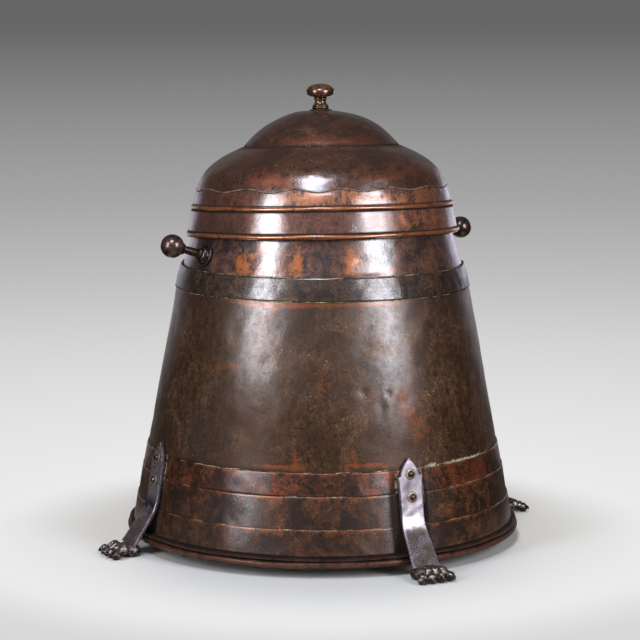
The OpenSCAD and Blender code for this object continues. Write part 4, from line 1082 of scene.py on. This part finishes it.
def legs():
    """Four straps, each with its paw, two rivets and their roves"""
    foot_point = strap_line()[1][-1]
    p, marks = strap()
    coords, faces = paw_mesh()
    out = coords[:, 0].max()
    limit = REACH * 0.998 - (foot_point[0] + STRAP_T)
    coords = coords * [min(1.0, limit / out), 1, 1]
    faces = [f.tolist() for f in faces]
    heads, roves = [], []
    for i in range(1, 5):
        place = leg_place(i)
        # The strap's marks carry its painted highlight and shade; one leg is also darker above its bend
        dull = 0.5 * smooth(p[..., 2], 60, 80) * (i == DULL_LEG)
        worn = dict(marks, grime_and_shade=np.clip(marks["grime_and_shade"] + dull, 0, 0.8))
        piece("strap_%d" % i, [(p, False, True)], place=place, marks=worn, weld=True,
              stands_for="leg_strap_%d" % i, slot="iron_strap", crease=50)
        local = coords + [foot_point[0] + STRAP_T, 0, 0]
        mesh = bpy.data.meshes.new("paw_%d_cast" % i)
        mesh.from_pydata(((local @ place[0].T) * MM).tolist(), [], faces)
        height = coords[:, 2]
        for mark, values in (("wear_and_highlight", 0.5 * smooth(height, 6, 14)), ("grime_and_shade", 0.6 * (1 - smooth(height, 0.5, 7)))):
            layer = mesh.attributes.new(mark, "FLOAT", "POINT")
            layer.data.foreach_set("value", values.astype(np.float32))
        finish("paw_%d_cast" % i, mesh, "bin", "paw_%d" % i, "iron_paw", None, 80)
        for z in RIVET_ZS:
            shift = np.array([STRAP_IN_R + (LOWER_HOOP_Z - z) * WALL_SLOPE, 0, z])
            at = inside(place, (turn_y(math.pi / 2 - WALL_LEAN), shift))
            heads.append((rivet_head() @ at[0].T + at[1], True, False))
            roves.append((rove() @ at[0].T + at[1], True, True))
    piece("rivet_heads", heads, slot="bronze_rivets", stands_for="leg_rivets", weld=True)
    piece("rivet_roves", roves, slot="brass_roves", stands_for="leg_rivet_roves")


def rivet_head():
    """Grid of a rivet: shank through the strap, a domed head outside and a peened one inside"""
    seat = STRAP_T + ROVE_T + 0.3
    back = -(BAND_T + WALL + 0.65)
    r = RIVET_HEAD_D / 2
    outline = np.concatenate([
        [[0, back - 1.8], [r * 0.8, back - 1.5], [r * 0.85, back - 0.2], [2.3, back], [2.3, seat], [r - 0.4, seat]],
        arc((r - 0.4, seat + 0.4), 0.4, -90, 0, 3),
        curve((r, seat + 0.6), (r, seat + 2.4), (r * 0.5, seat + 3.3), (0, seat + 3.3), 12)])
    return points_of(*lathe(outline, full_turn(40)))


def rove():
    """Grid of the washer under a rivet's head, with a bevelled edge"""
    r, t = ROVE_D / 2, STRAP_T + 0.15
    outline = np.array([[2.45, t], [r, t], [r, t + 0.35], [r - 0.35, t + 0.75], [r - 1.1, t + ROVE_T],
                        [2.45, t + ROVE_T]])
    return points_of(*lathe(outline, full_turn(48)))


body_sheet()
neck_sheet()
hoops_and_solder()
base()
lid()
lid_seam()
knob()
handles()
legs()

# CAD nodes that stay: wires, washers and the nut, with the finish of their slot
KEPT = {"mouth_wire": "iron_wire", "base_rim_wire": "iron_wire", "handle_roves": "brass_roves",
        "lid_knob_washer": "brass_roves", "lid_knob_nut": "iron_wire"}
for node, slot in KEPT.items():
    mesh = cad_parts[node].data
    mesh.materials.clear()
    mesh.materials.append(LOOKS[slot])


# Stage, camera and light

VIEW = math.radians(236.4)
TOWARD = np.array([math.cos(VIEW), math.sin(VIEW), 0])
CAMERA_AT = (-1523.4, -2287.1, 652.0)
CAMERA_PITCH = math.radians(-7.85)
FOCAL_PIXELS = 2198
SENSOR = 36
STAGE_FLAT_R = 2300
STAGE_BEND_R = 1500
STAGE_TOP = 2600
# Light from the open room above the paper, and what the metal mirrors of the flags and of the wall in front
ROOM_LIGHT = 0.05
FLAG = 0.02
FRONT_WALL = 0.12


def studio_paper():
    """Seamless paper, matt and lit round the bin. Further out, camera and glossy rays see it as an even tone that
    falls with distance and height, and glossy rays see it dark at both sides, where a studio hangs black flags. On the
    camera's side of the bin the tone carries a painted shadow, a band a little darker from about 0.42 m out.
    From behind, the paper is clear, so a camera that stands outside the sweep still sees the bin."""
    material, t = new_material("Seamless studio paper")
    place = add(t, "TexCoord")["Object"]
    height = add(t, "SeparateXYZ", {0: place})["Z"]
    level = add(t, "VectorMath", {0: place, 1: (1, 1, 0)}, operation="MULTIPLY")[0]
    out = add(t, "VectorMath", {0: level}, operation="LENGTH")["Value"]
    way = add(t, "VectorMath", {0: level}, operation="NORMALIZE")[0]
    facing = add(t, "VectorMath", {0: way, 1: tuple(TOWARD)}, operation="DOT_PRODUCT")["Value"]
    tone = add(t, "MapRange", {"Value": out, "From Min": 0.3, "From Max": 3.0, "To Min": 0.85, "To Max": 0.48})[0]
    # Painted shadow: the tone is 0.12 darker in a band on the camera's side of the bin, from about 0.42 m out, fading
    # by 1.5 m
    front_shadow = add(t, "VectorMath", {0: level, 1: tuple(TOWARD)}, operation="DOT_PRODUCT")["Value"]
    front_shadow = add(t, "MapRange", {"Value": front_shadow, "From Min": 0.1, "From Max": 0.35})[0]
    edge = add(t, "MapRange", {"Value": out, "From Min": 0.42, "From Max": 0.56}, interpolation_type="SMOOTHSTEP")[0]
    edge = add(t, "Math", {0: front_shadow, 1: edge}, operation="MULTIPLY")[0]
    near = add(t, "MapRange", {"Value": out, "From Min": 0.9, "From Max": 1.5, "To Min": 1.0, "To Max": 0.0})[0]
    edge = add(t, "Math", {0: near, 1: edge}, operation="MULTIPLY")[0]
    tone = add(t, "Math", {0: edge, 1: -0.12, 2: tone}, operation="MULTIPLY_ADD")[0]
    fall = add(t, "MapRange", {"Value": height, "From Min": 0.0, "From Max": 0.62, "To Min": 1.0, "To Max": 0.28})[0]
    tone = add(t, "Math", {0: tone, 1: fall}, operation="MULTIPLY")[0]
    behind = add(t, "MapRange", {"Value": facing, "From Min": -0.70, "From Max": -0.93},
                 interpolation_type="SMOOTHSTEP")[0]
    before = add(t, "MapRange", {"Value": facing, "From Min": 0.6, "From Max": 0.95, "To Max": FRONT_WALL},
                 interpolation_type="SMOOTHSTEP")[0]
    flagged = add(t, "Math", {0: tone, 1: behind, 2: before}, operation="MULTIPLY_ADD")[0]
    flagged = add(t, "Math", {0: flagged, 1: FLAG}, operation="ADD")[0]
    path = add(t, "LightPath")
    tone = add(t, "Mix", {0: path["Is Glossy Ray"], 2: tone, 3: flagged})[0]
    glow = add(t, "Emission", {"Strength": tone})[0]
    matt = add(t, "BsdfDiffuse", {"Color": linear("#dedcd6")})[0]
    far = add(t, "MapRange", {"Value": out, "From Min": 0.26, "From Max": 0.46},
              interpolation_type="SMOOTHSTEP")[0]
    eye_ray = add(t, "Math", {0: path["Is Camera Ray"], 1: path["Is Glossy Ray"]}, operation="MAXIMUM")[0]
    share = add(t, "Math", {0: far, 1: eye_ray}, operation="MULTIPLY")[0]
    paper = add(t, "MixShader", {0: share, 1: matt, 2: glow})[0]
    clear = add(t, "BsdfTransparent")[0]
    paper = add(t, "MixShader", {0: add(t, "NewGeometry")["Backfacing"], 1: paper, 2: clear})[0]
    add(t, "OutputMaterial", {"Surface": paper})
    return material


def stage():
    """A round floor that sweeps up into a wall on all sides"""
    bend = arc((STAGE_FLAT_R, STAGE_BEND_R), STAGE_BEND_R, -90, 0, 24)
    line = np.concatenate([[[0, 0]], np.stack([np.linspace(200, STAGE_FLAT_R - 100, 12), np.zeros(12)], axis=1), bend,
                           [[STAGE_FLAT_R + STAGE_BEND_R, STAGE_TOP]]])
    r, a, z = lathe(line, full_turn(96))
    coords, quads, _ = mesh_of([(points_of(r, a, z), True, False)])
    mesh = bpy.data.meshes.new("studio_sweep")
    mesh.from_pydata((coords * MM).tolist(), [], quads[:, ::-1].tolist())
    merge_flat(mesh)
    mesh.polygons.foreach_set("use_smooth", np.ones(len(mesh.polygons), bool))
    thing = bpy.data.objects.new("studio_sweep", mesh)
    bpy.context.scene.collection.objects.link(thing)
    mesh.materials.append(studio_paper())


def merge_flat(mesh):
    """Merges points that fall together at the floor's middle"""
    import bmesh
    work = bmesh.new()
    work.from_mesh(mesh)
    bmesh.ops.remove_doubles(work, verts=work.verts, dist=1e-6)
    work.to_mesh(mesh)
    work.free()


def softbox(name, azimuth, elevation, distance, wide, tall, power, colour="#ffffff", aim=(0, 0, 300), mirrored=True):
    """A rectangular soft light, placed by its angles from the camera's side of the bin and aimed at a point. One that
    isn't mirrored stands for light through a polariser: it lights what is matt and leaves no highlight."""
    a = VIEW + math.radians(azimuth)
    e = math.radians(elevation)
    way = np.array([math.cos(a) * math.cos(e), math.sin(a) * math.cos(e), math.sin(e)])
    lamp = bpy.data.lights.new(name, "AREA")
    lamp.shape = "RECTANGLE"
    lamp.size, lamp.size_y = wide * MM, tall * MM
    lamp.energy = power
    lamp.color = linear(colour)[:3]
    thing = bpy.data.objects.new(name, lamp)
    thing.visible_glossy = mirrored
    look_from(thing, np.array(aim) + way * distance, -way)
    bpy.context.scene.collection.objects.link(thing)


def look_from(thing, point, way):
    """Puts a camera or a light at a point in millimetres, its -Z along a direction and its Y upwards"""
    import mathutils
    thing.location = [float(c) * MM for c in point]
    thing.rotation_euler = mathutils.Vector([float(c) for c in way]).to_track_quat("-Z", "Y").to_euler()


stage()
softbox("Left softbox", -46, 17, 2200, 540, 1250, 28, "#f6f6ff")
softbox("Right softbox", 46, 16.7, 2200, 720, 1230, 30, "#f5f6ff")
softbox("Rear left softbox", -150, 3, 2400, 1100, 500, 1.2, "#e2e0fa")
softbox("Rear right softbox", 150, 4, 2400, 1100, 500, 2.4, "#e2e0fa")
softbox("Top softbox", 180, 64, 2300, 900, 900, 20, "#fff6ea", mirrored=False)
softbox("Front softbox", -9, 52, 2100, 560, 620, 21, "#e0ecff")

world = bpy.data.worlds.new("Studio room")
world.use_nodes = True
room = world.node_tree.nodes["Background"]
room.inputs["Color"].default_value = linear("#ffffff")
room.inputs["Strength"].default_value = ROOM_LIGHT
bpy.context.scene.world = world

eye = bpy.data.cameras.new("Camera")
eye.sensor_width = SENSOR
eye.lens = FOCAL_PIXELS / 640 * SENSOR
eye.clip_end = 50
camera = bpy.data.objects.new("Camera", eye)
aim = np.array([-TOWARD[0] * math.cos(CAMERA_PITCH), -TOWARD[1] * math.cos(CAMERA_PITCH), math.sin(CAMERA_PITCH)])
look_from(camera, CAMERA_AT, aim)
bpy.context.scene.collection.objects.link(camera)
bpy.context.scene.camera = camera
bpy.context.scene.view_settings.view_transform = "Standard"
